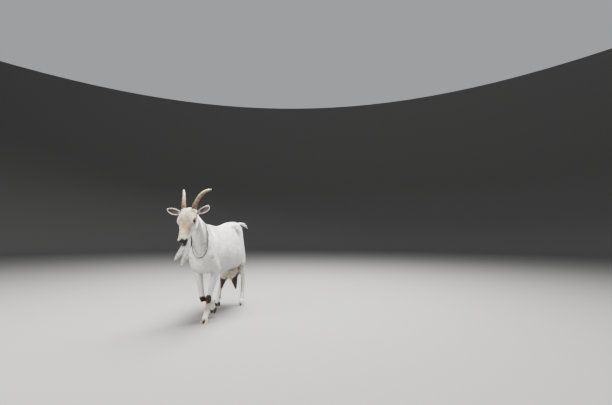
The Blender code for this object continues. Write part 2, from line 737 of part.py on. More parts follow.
def eyeball_mesh(name, side, radius):
    bm = bmesh.new()
    matrix = Matrix.Translation(on_head(side * EYE[0], EYE[1], EYE[2])) @ HEAD_TURN
    bmesh.ops.create_uvsphere(bm, u_segments=12, v_segments=7, radius=radius, matrix=matrix)
    return closed_mesh(bm, name)


def beard_mesh():
    """A long forked beard: one lock hangs from the jaw, the other from the chin swings to the goat's right."""
    bm = bmesh.new()
    add_tube(bm, [
        (on_head(0, 0.74 * HEAD_LENGTH, -0.036), 0.014, 0.026),
        (on_head(0, 0.76 * HEAD_LENGTH, -0.056), 0.021, 0.029),
        (Vector((0.002, -0.598, 0.512)), 0.026, 0.027),
        (Vector((-0.003, -0.606, 0.478)), 0.023, 0.021),
        (Vector((-0.009, -0.612, 0.448)), 0.015, 0.013),
        (Vector((-0.014, -0.616, 0.428)), 0.004, 0.004),
    ])
    add_tube(bm, [
        (on_head(0, 0.84 * HEAD_LENGTH, -0.036), 0.014, 0.018),
        (on_head(-0.004, 0.88 * HEAD_LENGTH, -0.054), 0.019, 0.019),
        (Vector((-0.026, -0.630, 0.518)), 0.019, 0.018),
        (Vector((-0.040, -0.636, 0.493)), 0.014, 0.013),
        (Vector((-0.052, -0.640, 0.472)), 0.004, 0.004),
    ])
    return fused(bm, "beard", VOXEL, 3, 260)


# ---------------------------------------------------------------- collar
def neck_reach(tree, centre, direction, normal):
    """How far the neck reaches from centre in this direction, over the strap's width."""
    found = 0.0
    for share in (-0.5, 0.0, 0.5):
        start = centre + normal * COLLAR_WIDTH * share
        hit, _, _, distance = tree.ray_cast(start + direction * 0.5, -direction)
        if hit is not None:
            found = max(found, 0.5 - distance)
    return found


def collar_mesh(flesh):
    """A strap that rests on the crest of the neck, lies along both sides and hangs free in front of the chest."""
    tree = BVHTree.FromPolygons(
        [v.co.copy() for v in flesh.vertices],
        [list(p.vertices) for p in flesh.polygons],
    )
    top = Vector((0, -0.360, 0.750))
    low = Vector((0.034, -0.432, 0.474))
    centre = top.lerp(low, 0.5)
    up = (top - low).normalized()
    side = Vector((math.cos(COLLAR_TURN), math.sin(COLLAR_TURN), 0))
    side = (side - up * side.dot(up)).normalized()
    normal = side.cross(up)
    bm = bmesh.new()
    rings = []
    count = 32
    for i in range(count):
        angle = 2 * math.pi * i / count
        direction = side * math.cos(angle) + up * math.sin(angle)
        slack = 0.040 * max(0.0, -math.sin(angle)) ** 6
        near = neck_reach(tree, centre, direction, normal) + 0.0015 + slack
        ring = []
        for across, out in ((-0.5, 0), (0.5, 0), (0.5, 1), (-0.5, 1)):
            ring.append(centre + direction * (near + COLLAR_THICKNESS * out) + normal * COLLAR_WIDTH * across)
        rings.append(ring)
    verts = [[bm.verts.new(p) for p in ring] for ring in rings]
    for i, ring in enumerate(verts):
        last = verts[i - 1]
        for k in range(4):
            bm.faces.new((last[k - 1], last[k], ring[k], ring[k - 1]))
    return closed_mesh(bm, "collar")


# ---------------------------------------------------------------- assembly
FLESH_NAMES = {
    "head": Vector((0, -0.59, 0.715)),
    "neck": Vector((0, -0.41, 0.655)),
    "trunk": Vector((0, 0.0, 0.515)),
    "tail": Vector((0.042, 0.495, 0.728)),
    "foreleg_left": Vector((0.06, -0.29, 0.175)),
    "foreleg_right": Vector((-0.04, -0.30, 0.205)),
    "hindleg_left": Vector((0.10, 0.30, 0.255)),
    "hindleg_right": Vector((-0.10, 0.28, 0.255)),
}


def ramp(value, start, stop):
    """0 before start, 1 after stop, smooth between them."""
    t = min(1.0, max(0.0, (value - start) / (stop - start)))
    return t * t * (3 - 2 * t)


def plainness(point):
    """0 on the head, little on the legs and the tail, and 1 on the neck and trunk."""
    head = ramp((point - on_head(0, 0.50 * HEAD_LENGTH, 0)).length, 0.150, 0.235)
    legs = ramp(point.z, 0.30, 0.42)
    tail = 1 - ramp(point.y, 0.430, 0.458)
    return head * min(0.12 + 0.88 * legs, 0.12 + 0.88 * tail)


def whole_flesh():
    bm = bmesh.new()
    add_sections(bm, trunk_sections())
    add_sections(bm, NECK_SECTIONS)
    add_head(bm)
    for side, fore, hind in ((1, LEFT_FORE, LEFT_HIND), (-1, RIGHT_FORE, RIGHT_HIND)):
        add_shoulder(bm, side, fore.upper)
        add_foreleg(bm, fore)
        add_rump(bm, side, hind.upper)
        add_hindleg(bm, hind)
    add_croup(bm)
    add_tube(bm, TAIL_PATH)
    return fused(bm, "flesh", VOXEL, 8, 4160, plainness)


def udder_mesh():
    bm = bmesh.new()
    add_udder(bm)
    return fused(bm, "udder", VOXEL, 8, 320)


def main():
    clear_scene()
    white = material("white_coat", (0.82, 0.80, 0.76), 0.85)
    skin = material("udder_skin", (0.62, 0.42, 0.38), 0.6)
    horn = material("horn", (0.46, 0.36, 0.29), 0.5)
    hoof = material("hoof", (0.42, 0.38, 0.31), 0.5)
    eye = material("eye", (0.55, 0.42, 0.16), 0.15)
    strap = material("collar_leather", (0.05, 0.05, 0.045), 0.6)

    flesh = whole_flesh()
    inserts = []
    for name, leg in (
        ("fore_left", LEFT_FORE),
        ("fore_right", RIGHT_FORE),
        ("hind_left", LEFT_HIND),
        ("hind_right", RIGHT_HIND),
    ):
        for side, word in ((1, "left"), (-1, "right")):
            inserts.append((f"claw_{name}_{word}", claw_mesh(name, side, leg.foot), hoof))
            inserts.append((f"dewclaw_{name}_{word}", dewclaw_mesh(name, side, leg.foot), hoof))
    for side, word in ((1, "left"), (-1, "right")):
        inserts.append((f"eye_{word}", eyeball_mesh(word, side, EYE_RADIUS), eye))
    for name, mesh, finish in inserts:
        flesh = difference(flesh, grown(mesh, GAP), "flesh")
        add_object(name, mesh, finish)

    body = grown(flesh, GAP)
    for side, word in ((1, "left"), (-1, "right")):
        for name, mesh, finish in (
            (f"horn_{word}", horn_mesh(word, side), horn),
            (f"ear_{word}", ear_mesh(word, side), white),
        ):
            parts = islands(difference(mesh, body, name))
            add_object(name, max(parts, key=lambda part: len(part[1].vertices))[1], finish)
    for name, mesh, finish in (
        ("beard", beard_mesh(), white),
        ("udder", udder_mesh(), skin),
        ("collar", collar_mesh(flesh), strap),
    ):
        parts = islands(difference(mesh, body, name))
        add_object(name, max(parts, key=lambda part: len(part[1].vertices))[1], finish)

    for place in blades():
        flesh = difference(flesh, blade(*place), "flesh")
    for middle, piece in islands(flesh):
        name = min(FLESH_NAMES, key=lambda n: (FLESH_NAMES[n] - middle).length)
        add_object(name, piece, white)

    # The row's origin is the floor point under the middle of the whole.
    corners = [vertex.co for obj in bpy.data.objects for vertex in obj.data.vertices]
    low = [min(c[axis] for c in corners) for axis in range(3)]
    high = [max(c[axis] for c in corners) for axis in range(3)]
    shift = Vector((-(low[0] + high[0]) / 2, -(low[1] + high[1]) / 2, -low[2]))
    print("shift", [round(c, 6) for c in shift], "size", [round(b - a, 4) for a, b in zip(low, high)])
    for obj in bpy.data.objects:
        obj.data.transform(Matrix.Translation(shift))
        obj.data.update()


main()
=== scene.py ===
# %% [markdown]
# # A horned white dairy doe, life size
#
# A museum model of a live animal is made in layers: a body with its muscles, a skin, a coat of hair, and
# the hard pieces of horn, hoof and eye that stay bare. This lesson follows that order. Every step first
# says what the piece is on the animal, how it could be made, and why this way was chosen.
#
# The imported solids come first, as a fixed frame. They hold the size and the outline, out to the tips of the
# coat, so each thing that is made here has its place before it has its shape.

# %% Load the frame
import math

import bmesh
import bpy
import numpy as np
from mathutils import Matrix, Vector
from mathutils.bvhtree import BVHTree


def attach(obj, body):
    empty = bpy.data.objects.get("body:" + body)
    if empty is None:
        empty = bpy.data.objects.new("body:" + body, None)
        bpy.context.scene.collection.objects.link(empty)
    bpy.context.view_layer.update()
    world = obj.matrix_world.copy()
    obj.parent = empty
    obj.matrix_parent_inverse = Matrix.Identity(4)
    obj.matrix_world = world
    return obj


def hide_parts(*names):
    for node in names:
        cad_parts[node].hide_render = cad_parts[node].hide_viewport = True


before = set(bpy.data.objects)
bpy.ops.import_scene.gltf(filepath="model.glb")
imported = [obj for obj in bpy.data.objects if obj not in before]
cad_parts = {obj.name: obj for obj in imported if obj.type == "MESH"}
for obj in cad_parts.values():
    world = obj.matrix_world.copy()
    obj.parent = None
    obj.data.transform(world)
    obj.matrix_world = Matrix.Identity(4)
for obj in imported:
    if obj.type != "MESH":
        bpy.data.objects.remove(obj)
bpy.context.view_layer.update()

# %% [markdown]
# The animal is laid out about the point of the floor under the middle of her trunk: she faces -Y, her left
# side is +X, and Z is up. The frame's own origin is the middle of the whole, nose to tail, so everything is
# moved once by `FROM_LAYOUT` when it is finished. The joints of her legs are points that many steps share:
# the skin, the hooves and the dark marks on her knees all ask for them, so they are named here once.

# %% Measures of the animal
FROM_LAYOUT = Vector((0.000895, 0.060197, 0.0))
WITHERS, HIPS, BRISKET, BELLY = 0.730, 0.765, 0.347, 0.313
SHOULDER_HALF, BARREL_HALF, RUMP_HALF = 0.106, 0.165, 0.085
HEAD_LENGTH = 0.243
HEAD_PITCH = math.radians(62)
POLL = Vector((-0.007, -0.521, 0.807))
EYE_RADIUS = 0.0145
HORN_RADIUS = 0.0185
FETLOCK = Vector((0, 0.032, 0.076))
SIDES = ((1, "left"), (-1, "right"))


def foot_at(x, y, z=0.0, flexed=0.0, turned=0.0):
    turn = Matrix.Rotation(math.radians(turned), 4, "Z")
    flex = Matrix.Rotation(math.radians(flexed), 4, "X")
    return Matrix.Translation((x, y, z)) @ turn @ flex


FORE = {
    "left": ((0.072, -0.250, 0.378), (0.047, -0.314, 0.172), foot_at(0.035, -0.352, turned=-3)),
    "right": ((-0.073, -0.255, 0.378), (-0.008, -0.304, 0.174), foot_at(0.026, -0.171, 0.052, flexed=50)),
}
HIND = {
    "left": ((0.104, 0.200, 0.388), (0.086, 0.345, 0.243), foot_at(0.094, 0.272, turned=4)),
    "right": ((-0.104, 0.182, 0.388), (-0.104, 0.312, 0.243), foot_at(-0.121, 0.236, turned=-4)),
}
LEGS = {**{"fore_" + k: v for k, v in FORE.items()}, **{"hind_" + k: v for k, v in HIND.items()}}

# %% [markdown]
# The head has a frame of its own, because the face slopes: `side` to her left, `along` from the poll to the
# nose, and `up` out of the face. Every feature of the face is written in that frame.

# %% The head's own frame
FORWARD = Vector((0, -math.cos(HEAD_PITCH), -math.sin(HEAD_PITCH)))
UP = Vector((0, -math.sin(HEAD_PITCH), math.cos(HEAD_PITCH)))
HEAD_TURN = Matrix(((1, 0, 0), (0, FORWARD.y, UP.y), (0, FORWARD.z, UP.z))).to_4x4()
EYE = (0.0534, 0.352 * HEAD_LENGTH, 0.0275)
EAR_TIPS = {"left": Vector((0.151, -0.575, 0.842)), "right": Vector((-0.166, -0.568, 0.824))}


def on_head(side, along, up):
    return POLL + Vector((side, 0, 0)) + FORWARD * along + UP * up


EAR_ROOTS = {word: on_head(side * 0.049, 0.125 * HEAD_LENGTH, 0.022) for side, word in SIDES}
eye_height, nose_height = on_head(*EYE).z, on_head(0, HEAD_LENGTH, 0).z
print("eye height:", round(eye_height, 3), "m, nose height:", round(nose_height, 3), "m")

# %% [markdown]
# The camera stands a little lower than her own eyes, in front of her and to her left, and looks slightly
# up. It comes before the modelling, so that each later step can be looked at through it. The lens is wide
# and the animal is off to one side of the view, which the camera's turn gives without any shift.

# %% Camera
camera = bpy.data.objects.new("camera", bpy.data.cameras.new("camera"))
bpy.context.scene.collection.objects.link(camera)
camera.data.sensor_width = 36
camera.data.lens = 20
camera.data.clip_end = 200
camera.location = Vector((1.1529, -2.7696, 0.655)) + FROM_LAYOUT
camera.rotation_euler = (math.radians(90 + 5.2), 0, math.radians(8.6))
bpy.context.scene.camera = camera

# %% [markdown]
# A white animal is best shown on a pale floor a step darker than she is. Far behind her it curves up into a
# wall without a corner. The profile is spun all the way round, so that she can be seen from every side. The
# wall gets little light, and so the pale coat stands out against it.

# %% Helpers for new objects
def link(name, mesh):
    piece = bpy.data.objects.new(name, mesh)
    bpy.context.scene.collection.objects.link(piece)
    return piece


def to_mesh(bm, name):
    mesh = bpy.data.meshes.new(name)
    bm.to_mesh(mesh)
    bm.free()
    return mesh


def evaluated(piece):
    """What a piece's modifiers make, as a mesh of its own; the piece itself is removed."""
    bpy.context.view_layer.update()
    mesh = bpy.data.meshes.new_from_object(piece.evaluated_get(bpy.context.evaluated_depsgraph_get()))
    bpy.data.objects.remove(piece, do_unlink=True)
    return mesh


def principled(name, roughness=0.8):
    made = bpy.data.materials.new(name)
    made.use_nodes = True
    shader = made.node_tree.nodes["Principled BSDF"]
    shader.inputs["Roughness"].default_value = roughness
    return made, made.node_tree, shader


# %% Floor and backdrop
FLOOR_RADIUS, SWEEP_RADIUS, WALL_HEIGHT = 11.0, 3.0, 7.0


def sweep_mesh():
    bm = bmesh.new()
    profile = [(0.0, 0.0), (FLOOR_RADIUS * 0.5, 0.0), (FLOOR_RADIUS, 0.0)]
    for step in range(1, 13):
        angle = math.radians(90) * step / 12
        profile.append((FLOOR_RADIUS + SWEEP_RADIUS * math.sin(angle), SWEEP_RADIUS * (1 - math.cos(angle))))
    profile.append((FLOOR_RADIUS + SWEEP_RADIUS, WALL_HEIGHT))
    verts = [bm.verts.new((x, 0, z)) for x, z in profile]
    edges = [bm.edges.new(pair) for pair in zip(verts, verts[1:])]
    turned = {"cent": (0, 0, 0), "axis": (0, 0, 1), "angle": math.radians(360), "steps": 96}
    bmesh.ops.spin(bm, geom=verts + edges, use_merge=True, **turned)
    bmesh.ops.remove_doubles(bm, verts=bm.verts[:], dist=0.0001)
    bmesh.ops.recalc_face_normals(bm, faces=bm.faces[:])
    return to_mesh(bm, "floor")


floor = link("floor", sweep_mesh())
floor.data.shade_smooth()
paper, _, paper_shader = principled("floor_paper", 0.9)
paper_shader.inputs["Base Color"].default_value = (0.21, 0.207, 0.200, 1)
floor.data.materials.append(paper)

# %% [markdown]
# White hair shows its form only by soft shade, so the strongest softbox hangs right over her, as the sky
# does on a dull day: her back and rump come out brightest and the undersides stay a step darker. A weaker
# one from her right gives the face its form, and a faint one from her left and the even sky open the shadows.

# %% Lights
def softbox(name, place, size, watts, aim=(0, 0, 0.45)):
    lamp = bpy.data.lights.new(name, "AREA")
    lamp.shape = "RECTANGLE"
    lamp.size = lamp.size_y = size
    lamp.energy = watts
    made = link(name, lamp)
    made.location = place
    made.rotation_euler = (Vector(aim) - Vector(place)).to_track_quat("-Z", "Y").to_euler()
    return made


softbox("top_softbox", (0.5, 0.9, 4.4), 2.8, 900)
softbox("face_softbox", (-2.6, -3.0, 2.4), 2.2, 190)
softbox("fill_softbox", (4.0, -2.0, 2.6), 3.0, 50)
world = bpy.data.worlds.new("sky")
world.use_nodes = True
world.node_tree.nodes["Background"].inputs["Color"].default_value = (0.93, 0.96, 1.0, 1)
world.node_tree.nodes["Background"].inputs["Strength"].default_value = 0.36
bpy.context.scene.world = world
bpy.context.scene.view_settings.look = "AgX - Medium High Contrast"


# %% [markdown]
# ## The body
#
# A real body is round everywhere, and its parts run into each other. It could be carved out of one block,
# but its proportions would be hard to hold. Here it is laid up the way a sculptor adds clay: a loft for the
# trunk, one for the neck, tapered tubes for the limbs and egg shapes for muscles and bones that show. A
# remesh then fuses them all into one closed skin, and smoothing runs them into each other.
#
# First the tools. A loft needs rings of points: `spline` gives smooth values between the rows of a short
# table, and `bridge_loops` joins ring to ring.

# %% Loft tools
RING_POINTS = 36


def spline(rows, steps):
    """Catmull-Rom values between rows of numbers, with `steps` values for each gap."""
    rows = [list(row) for row in rows]
    first = [2 * a - b for a, b in zip(rows[0], rows[1])]
    last = [2 * a - b for a, b in zip(rows[-1], rows[-2])]
    ends = [first, *rows, last]
    found = []
    for before, start, stop, after in zip(ends, ends[1:], ends[2:], ends[3:]):
        for step in range(steps):
            t = step / steps
            found.append([
                0.5 * (
                    2 * b + (c - a) * t + (2 * a - 5 * b + 4 * c - d) * t**2 + (3 * b - a - 3 * c + d) * t**3
                )
                for a, b, c, d in zip(before, start, stop, after)
            ])
    found.append(rows[-1])
    return found


def power(value, exponent):
    return math.copysign(abs(value) ** exponent, value)


def add_loft(bm, rings):
    """Bridges closed rings of points, and closes both ends."""
    loops = []
    for ring in rings:
        verts = [bm.verts.new(p) for p in ring]
        loops.append([bm.edges.new((verts[i - 1], verts[i])) for i in range(len(verts))])
    for first, second in zip(loops, loops[1:]):
        bmesh.ops.bridge_loops(bm, edges=first + second)
    for loop in (loops[0], loops[-1]):
        bmesh.ops.contextual_create(bm, geom=loop)


def add_sections(bm, rows, place, steps=5):
    """Rows are top y and z, bottom y and z, half width, where the widest point is, and how round the top
    and the bottom are."""
    rings = []
    for top_y, top_z, low_y, low_z, half, widest, round_top, round_low in spline(rows, steps):
        top, low = Vector((0, top_y, top_z)), Vector((0, low_y, low_z))
        middle = low.lerp(top, widest)
        ring = []
        for i in range(RING_POINTS):
            angle = 2 * math.pi * i / RING_POINTS
            across, along = math.cos(angle), math.sin(angle)
            exponent = 2 / (round_top if along > 0 else round_low)
            reach = (top - middle) if along > 0 else (middle - low)
            sideways = Vector((half * power(across, exponent), 0, 0))
            ring.append(place(middle + reach * power(along, exponent) + sideways))
        rings.append(ring)
    add_loft(bm, rings)


def add_tube(bm, stations, steps=5, points=22):
    """A limb: each station is (centre, half width, half depth), and a ring stands square to the path."""
    rows = spline([[*centre, width, depth] for centre, width, depth in stations], steps)
    centres = [Vector(row[:3]) for row in rows]
    rings = []
    for i, row in enumerate(rows):
        along = (centres[min(i + 1, len(rows) - 1)] - centres[max(i - 1, 0)]).normalized()
        side = (Vector((1, 0, 0)) - along * along.x).normalized()
        back = along.cross(side)
        turns = [2 * math.pi * k / points for k in range(points)]
        rings.append([centres[i] + side * row[3] * math.cos(a) + back * row[4] * math.sin(a) for a in turns])
    add_loft(bm, rings)


def add_blob(bm, centre, radii, turn=Matrix.Identity(4)):
    matrix = Matrix.Translation(centre) @ turn @ Matrix.Diagonal((*radii, 1))
    bmesh.ops.create_uvsphere(bm, u_segments=24, v_segments=16, radius=1, matrix=matrix)


# %% [markdown]
# The trunk of a dairy goat is a deep wedge: narrow at the chest, widest behind the ribs, with a level back
# and hips that stand out. The neck is thin from side to side and deepens towards the chest.

# %% Trunk and neck
def add_trunk(bm):
    shoulder, barrel, rump = SHOULDER_HALF, BARREL_HALF, RUMP_HALF
    rows = [  # y, top, bottom, half width, widest, round top, round bottom
        (-0.402, 0.545, 0.430, 0.36 * shoulder, 0.45, 2.0, 2.0),
        (-0.378, 0.635, 0.383, 0.70 * shoulder, 0.42, 2.0, 2.0),
        (-0.330, 0.700, 0.355, 0.92 * shoulder, 0.40, 1.6, 2.0),
        (-0.250, WITHERS, BRISKET, shoulder, 0.42, 1.45, 2.0),
        (-0.160, 0.719, 0.347, 1.08 * shoulder, 0.46, 1.6, 2.1),
        (-0.060, 0.718, 0.329, 0.88 * barrel, 0.45, 1.7, 2.1),
        (0.050, 0.740, BELLY, barrel, 0.42, 1.55, 2.1),
        (0.130, 0.755, 0.317, 0.99 * barrel, 0.40, 1.38, 2.1),
        (0.190, 0.761, 0.338, 0.90 * barrel, 0.38, 1.15, 2.0),
        (0.245, HIPS, 0.372, 0.74 * barrel, 0.36, 1.10, 2.0),
        (0.310, 0.766, 0.410, rump, 0.45, 1.40, 2.0),
        (0.375, 0.757, 0.455, 0.70 * rump, 0.55, 1.9, 2.0),
        (0.422, 0.728, 0.560, 0.46 * rump, 0.60, 2.0, 2.0),
    ]
    add_sections(bm, [(y, top, y, low, *rest) for y, top, low, *rest in rows], Vector)


def add_neck(bm):
    add_sections(bm, [
        (-0.548, 0.823, -0.478, 0.707, 0.042, 0.50, 2.0, 2.0),
        (-0.498, 0.806, -0.456, 0.657, 0.046, 0.48, 1.9, 2.0),
        (-0.444, 0.785, -0.440, 0.597, 0.049, 0.46, 1.8, 1.9),
        (-0.386, 0.762, -0.424, 0.535, 0.051, 0.44, 1.7, 1.9),
        (-0.328, 0.740, -0.408, 0.475, 0.060, 0.42, 1.6, 2.0),
        (-0.262, 0.729, -0.372, 0.407, 0.086, 0.42, 1.5, 2.0),
    ], Vector)


# %% [markdown]
# Under the hair a lean animal shows her bones: the blade of the shoulder and its point, the hook bones of
# the hips, the pin bones beside the tail, and the fold of skin from thigh to flank.

# %% Shoulder and rump
def add_shoulder(bm, side, elbow):
    point = Vector((side * 0.076, -0.340, 0.473))
    add_tube(bm, [
        (Vector((side * 0.020, -0.222, 0.680)), 0.012, 0.036),
        (Vector((side * 0.053, -0.254, 0.612)), 0.029, 0.058),
        (Vector((side * 0.072, -0.298, 0.543)), 0.034, 0.056),
        (point, 0.032, 0.044),
    ])
    add_tube(bm, [
        (point + Vector((0, -0.004, 0.010)), 0.030, 0.040),
        (point.lerp(elbow, 0.5) + Vector((side * 0.002, 0, 0)), 0.034, 0.052),
        (elbow + Vector((0, 0.004, 0.006)), 0.031, 0.050),
    ])


def add_croup(bm):
    """The broad top of the hips, level from the loin to the tail."""
    add_tube(bm, [
        (Vector((0, 0.170, 0.722)), 0.044, 0.032),
        (Vector((0, 0.240, 0.725)), 0.062, 0.036),
        (Vector((0, 0.320, 0.727)), 0.056, 0.036),
        (Vector((0, 0.396, 0.718)), 0.036, 0.032),
    ])


def add_rump(bm, side, stifle):
    add_blob(bm, Vector((side * 0.056, 0.238, 0.700)), (0.031, 0.064, 0.036))
    add_blob(bm, Vector((side * 0.030, 0.396, 0.690)), (0.024, 0.036, 0.036))
    add_tube(bm, [
        (Vector((side * 0.020, 0.030, 0.704)), 0.024, 0.016),
        (Vector((side * 0.030, 0.100, 0.716)), 0.028, 0.018),
        (Vector((side * 0.038, 0.170, 0.722)), 0.030, 0.020),
        (Vector((side * 0.042, 0.236, 0.724)), 0.032, 0.022),
    ])
    add_tube(bm, [
        (Vector((side * 0.044, 0.300, 0.680)), 0.038, 0.080),
        (Vector((side * 0.056, 0.292, 0.575)), 0.040, 0.098),
        (Vector((side * 0.082, 0.268, 0.455)), 0.040, 0.098),
        (stifle.lerp(Vector((side * 0.094, 0.300, 0.385)), 0.42), 0.036, 0.066),
    ])
    add_tube(bm, [
        (Vector((side * 0.028, 0.384, 0.665)), 0.028, 0.042),
        (Vector((side * 0.038, 0.378, 0.560)), 0.032, 0.044),
        (Vector((side * 0.064, 0.352, 0.440)), 0.032, 0.040),
        (Vector((side * 0.081, 0.332, 0.382)), 0.022, 0.028),
        (Vector((side * 0.089, 0.320, 0.345)), 0.011, 0.014),
    ])
    add_tube(bm, [
        (Vector((side * 0.104, 0.105, 0.417)), 0.012, 0.040),
        (Vector((side * 0.104, 0.165, 0.407)), 0.015, 0.040),
        (stifle + Vector((0, 0.012, 0.012)), 0.020, 0.040),
    ])


# %% [markdown]
# A leg below the knee or hock is bone, tendon and skin, so its tube is slim and swells only at the joints.
# The Achilles tendon stands off the shank, with only a thin web of skin between, and it gives the hock its
# sharp point.

# %% Legs
def foot_stations(foot):
    spots = (
        (0.0205, 0.0560, 0.0203, 0.0188),
        (0.0110, 0.0400, 0.0230, 0.0215),
        (0.0090, 0.0300, 0.0220, 0.0225),
        (0.0080, 0.0190, 0.0185, 0.0210),
    )
    return [(foot @ FETLOCK, 0.0218, 0.0215), *((foot @ Vector((0, y, z)), w, d) for y, z, w, d in spots)]


def add_foreleg(bm, leg):
    elbow, knee, foot = Vector(leg[0]), Vector(leg[1]), leg[2]
    fetlock = foot @ FETLOCK
    add_tube(bm, [
        (elbow + (elbow - knee) * 0.16 + Vector((0, 0.006, 0)), 0.031, 0.050),
        (elbow, 0.0320, 0.0480),
        (elbow.lerp(knee, 0.28), 0.0290, 0.0385),
        (elbow.lerp(knee, 0.60), 0.0230, 0.0275),
        (elbow.lerp(knee, 0.84), 0.0210, 0.0235),
        (knee, 0.0230, 0.0245),
        (knee.lerp(fetlock, 0.22), 0.0200, 0.0215),
        (knee.lerp(fetlock, 0.46), 0.0165, 0.0180),
        (knee.lerp(fetlock, 0.74), 0.0165, 0.0175),
        *foot_stations(foot),
    ])
    add_blob(bm, knee_front(leg, 0.0095), (0.0180, 0.0145, 0.0260))


def knee_front(leg, reach):
    """The middle of the pad that she kneels on."""
    knee = Vector(leg[1])
    front = (knee - leg[2] @ FETLOCK).cross(Vector((1, 0, 0))).normalized()
    return knee + (front if front.y < 0 else -front) * reach


def add_hindleg(bm, leg):
    stifle, hock, foot = Vector(leg[0]), Vector(leg[1]), leg[2]
    fetlock = foot @ FETLOCK
    heel = hock + Vector((0, 0.016, 0.022))
    ham = stifle + Vector((-math.copysign(0.010, stifle.x), 0.086, 0.040))
    add_tube(bm, [
        (stifle.lerp(ham, 0.45) + Vector((0, -0.010, 0.040)), 0.035, 0.068),
        (stifle.lerp(ham, 0.30), 0.035, 0.060),
        (stifle.lerp(hock, 0.36), 0.031, 0.043),
        (stifle.lerp(hock, 0.66), 0.0225, 0.0285),
        (hock + Vector((0, -0.003, 0.028)), 0.0190, 0.0245),
        (hock, 0.0210, 0.0280),
        (hock + Vector((0, -0.004, -0.032)), 0.0195, 0.0235),
        (hock.lerp(fetlock, 0.44), 0.0180, 0.0205),
        (hock.lerp(fetlock, 0.80), 0.0180, 0.0198),
        *foot_stations(foot),
    ])
    add_tube(bm, [
        (heel + Vector((0, 0, -0.020)), 0.0130, 0.0110),
        (heel, 0.0125, 0.0120),
        (heel.lerp(ham, 0.35), 0.0110, 0.0115),
        (heel.lerp(ham, 0.75), 0.0190, 0.0230),
        (ham, 0.0270, 0.0300),
    ])
    add_tube(bm, [
        (hock.lerp(heel, 0.5) + Vector((0, 0, 0.008)), 0.0080, 0.0120),
        (stifle.lerp(hock, 0.70).lerp(heel.lerp(ham, 0.30), 0.5), 0.0080, 0.0190),
        (stifle.lerp(hock, 0.46).lerp(heel.lerp(ham, 0.62), 0.5), 0.0110, 0.0240),
        (stifle.lerp(hock, 0.24).lerp(heel.lerp(ham, 0.88), 0.5), 0.0180, 0.0280),
    ])


# %% [markdown]
# The head is two lofts, skull and jaw, with blobs for what stands out of them: the orbit and its brow, the
# cheek, the wing of the nostril, the lip, the boss that the horn grows from and the root of the ear.

# %% Head
def add_head(bm):
    skull = [  # share of the head's length, top, bottom, half width, widest, round top, round bottom
        (-0.13, 0.012, -0.022, 0.015, 0.50, 2.0, 2.0),
        (-0.07, 0.032, -0.044, 0.037, 0.50, 2.0, 2.0),
        (0.00, 0.050, -0.058, 0.050, 0.55, 2.0, 2.0),
        (0.10, 0.061, -0.066, 0.058, 0.60, 2.1, 2.0),
        (0.22, 0.063, -0.064, 0.065, 0.66, 2.2, 2.0),
        (0.34, 0.058, -0.058, 0.065, 0.68, 2.3, 1.9),
        (0.45, 0.048, -0.050, 0.056, 0.62, 2.3, 1.9),
        (0.56, 0.0395, -0.040, 0.0465, 0.56, 2.3, 2.0),
        (0.68, 0.0350, -0.031, 0.0385, 0.50, 2.4, 2.2),
        (0.80, 0.0325, -0.024, 0.0325, 0.46, 2.5, 2.3),
        (0.90, 0.0290, -0.0200, 0.0305, 0.45, 2.4, 2.3),
        (0.96, 0.0200, -0.0185, 0.0260, 0.46, 2.2, 2.2),
        (1.00, 0.0060, -0.0150, 0.0160, 0.48, 2.0, 2.0),
    ]
    jaw = [
        (0.12, -0.010, -0.064, 0.028, 0.60),
        (0.20, -0.010, -0.079, 0.040, 0.60),
        (0.32, -0.010, -0.083, 0.042, 0.62),
        (0.45, -0.010, -0.074, 0.035, 0.64),
        (0.58, -0.010, -0.061, 0.028, 0.62),
        (0.70, -0.010, -0.051, 0.0225, 0.58),
        (0.80, -0.010, -0.0455, 0.0205, 0.50),
        (0.89, -0.012, -0.0440, 0.0205, 0.45),
        (0.95, -0.016, -0.0380, 0.0150, 0.45),
    ]
    jaw = [(*row, 2.0, 2.2) for row in jaw]
    for rows in (skull, jaw):
        lengths = [
            (share * HEAD_LENGTH, top, share * HEAD_LENGTH, low, *rest) for share, top, low, *rest in rows
        ]
        add_sections(bm, lengths, lambda p: on_head(p.x, p.y, p.z))
    pairs = [  # side, share along, up, radii
        (0.0440, 0.340, 0.0275, (0.0232, 0.0370, 0.0245)),
        (0.0450, 0.325, 0.0420, (0.0155, 0.0320, 0.0110)),
        (0.0335, 0.300, -0.0330, (0.0170, 0.0600, 0.0400)),
        (0.0165, 0.600, -0.0300, (0.0130, 0.0560, 0.0210)),
        (0.0180, 0.925, 0.0090, (0.0130, 0.0170, 0.0150)),
        (0.0160, 0.895, -0.0110, (0.0155, 0.0260, 0.0110)),
        (0.0340, 0.070, 0.0420, (0.0200, 0.0240, 0.0160)),
        (0.0485, 0.120, 0.0200, (0.0150, 0.0210, 0.0200)),
    ]
    for side, _ in SIDES:
        for out, share, up, radii in pairs:
            add_blob(bm, on_head(side * out, share * HEAD_LENGTH, up), radii, HEAD_TURN)
    add_blob(bm, on_head(0, 0.885 * HEAD_LENGTH, -0.0360), (0.0185, 0.0220, 0.0115), HEAD_TURN)
    add_blob(bm, on_head(0, 0.955 * HEAD_LENGTH, -0.0080), (0.0120, 0.0150, 0.0130), HEAD_TURN)


# %% [markdown]
# An ear is a leaf of gristle, rolled nearly into a tube at its root and open towards its tip. It starts as
# a grid whose columns are bent round that roll, and Solidify gives it its thickness.

# %% Ears
EAR_HALF, EAR_WALL = 0.029, 0.0042


def ear_frame(word):
    """The ear's length, the way its cup faces, and across it."""
    side = 1 if word == "left" else -1
    along = (EAR_TIPS[word] - EAR_ROOTS[word]).normalized()
    face = Vector((side * 0.10, -1.0, 0.22))
    face = (face - along * face.dot(along)).normalized()
    return along, face, face.cross(along)


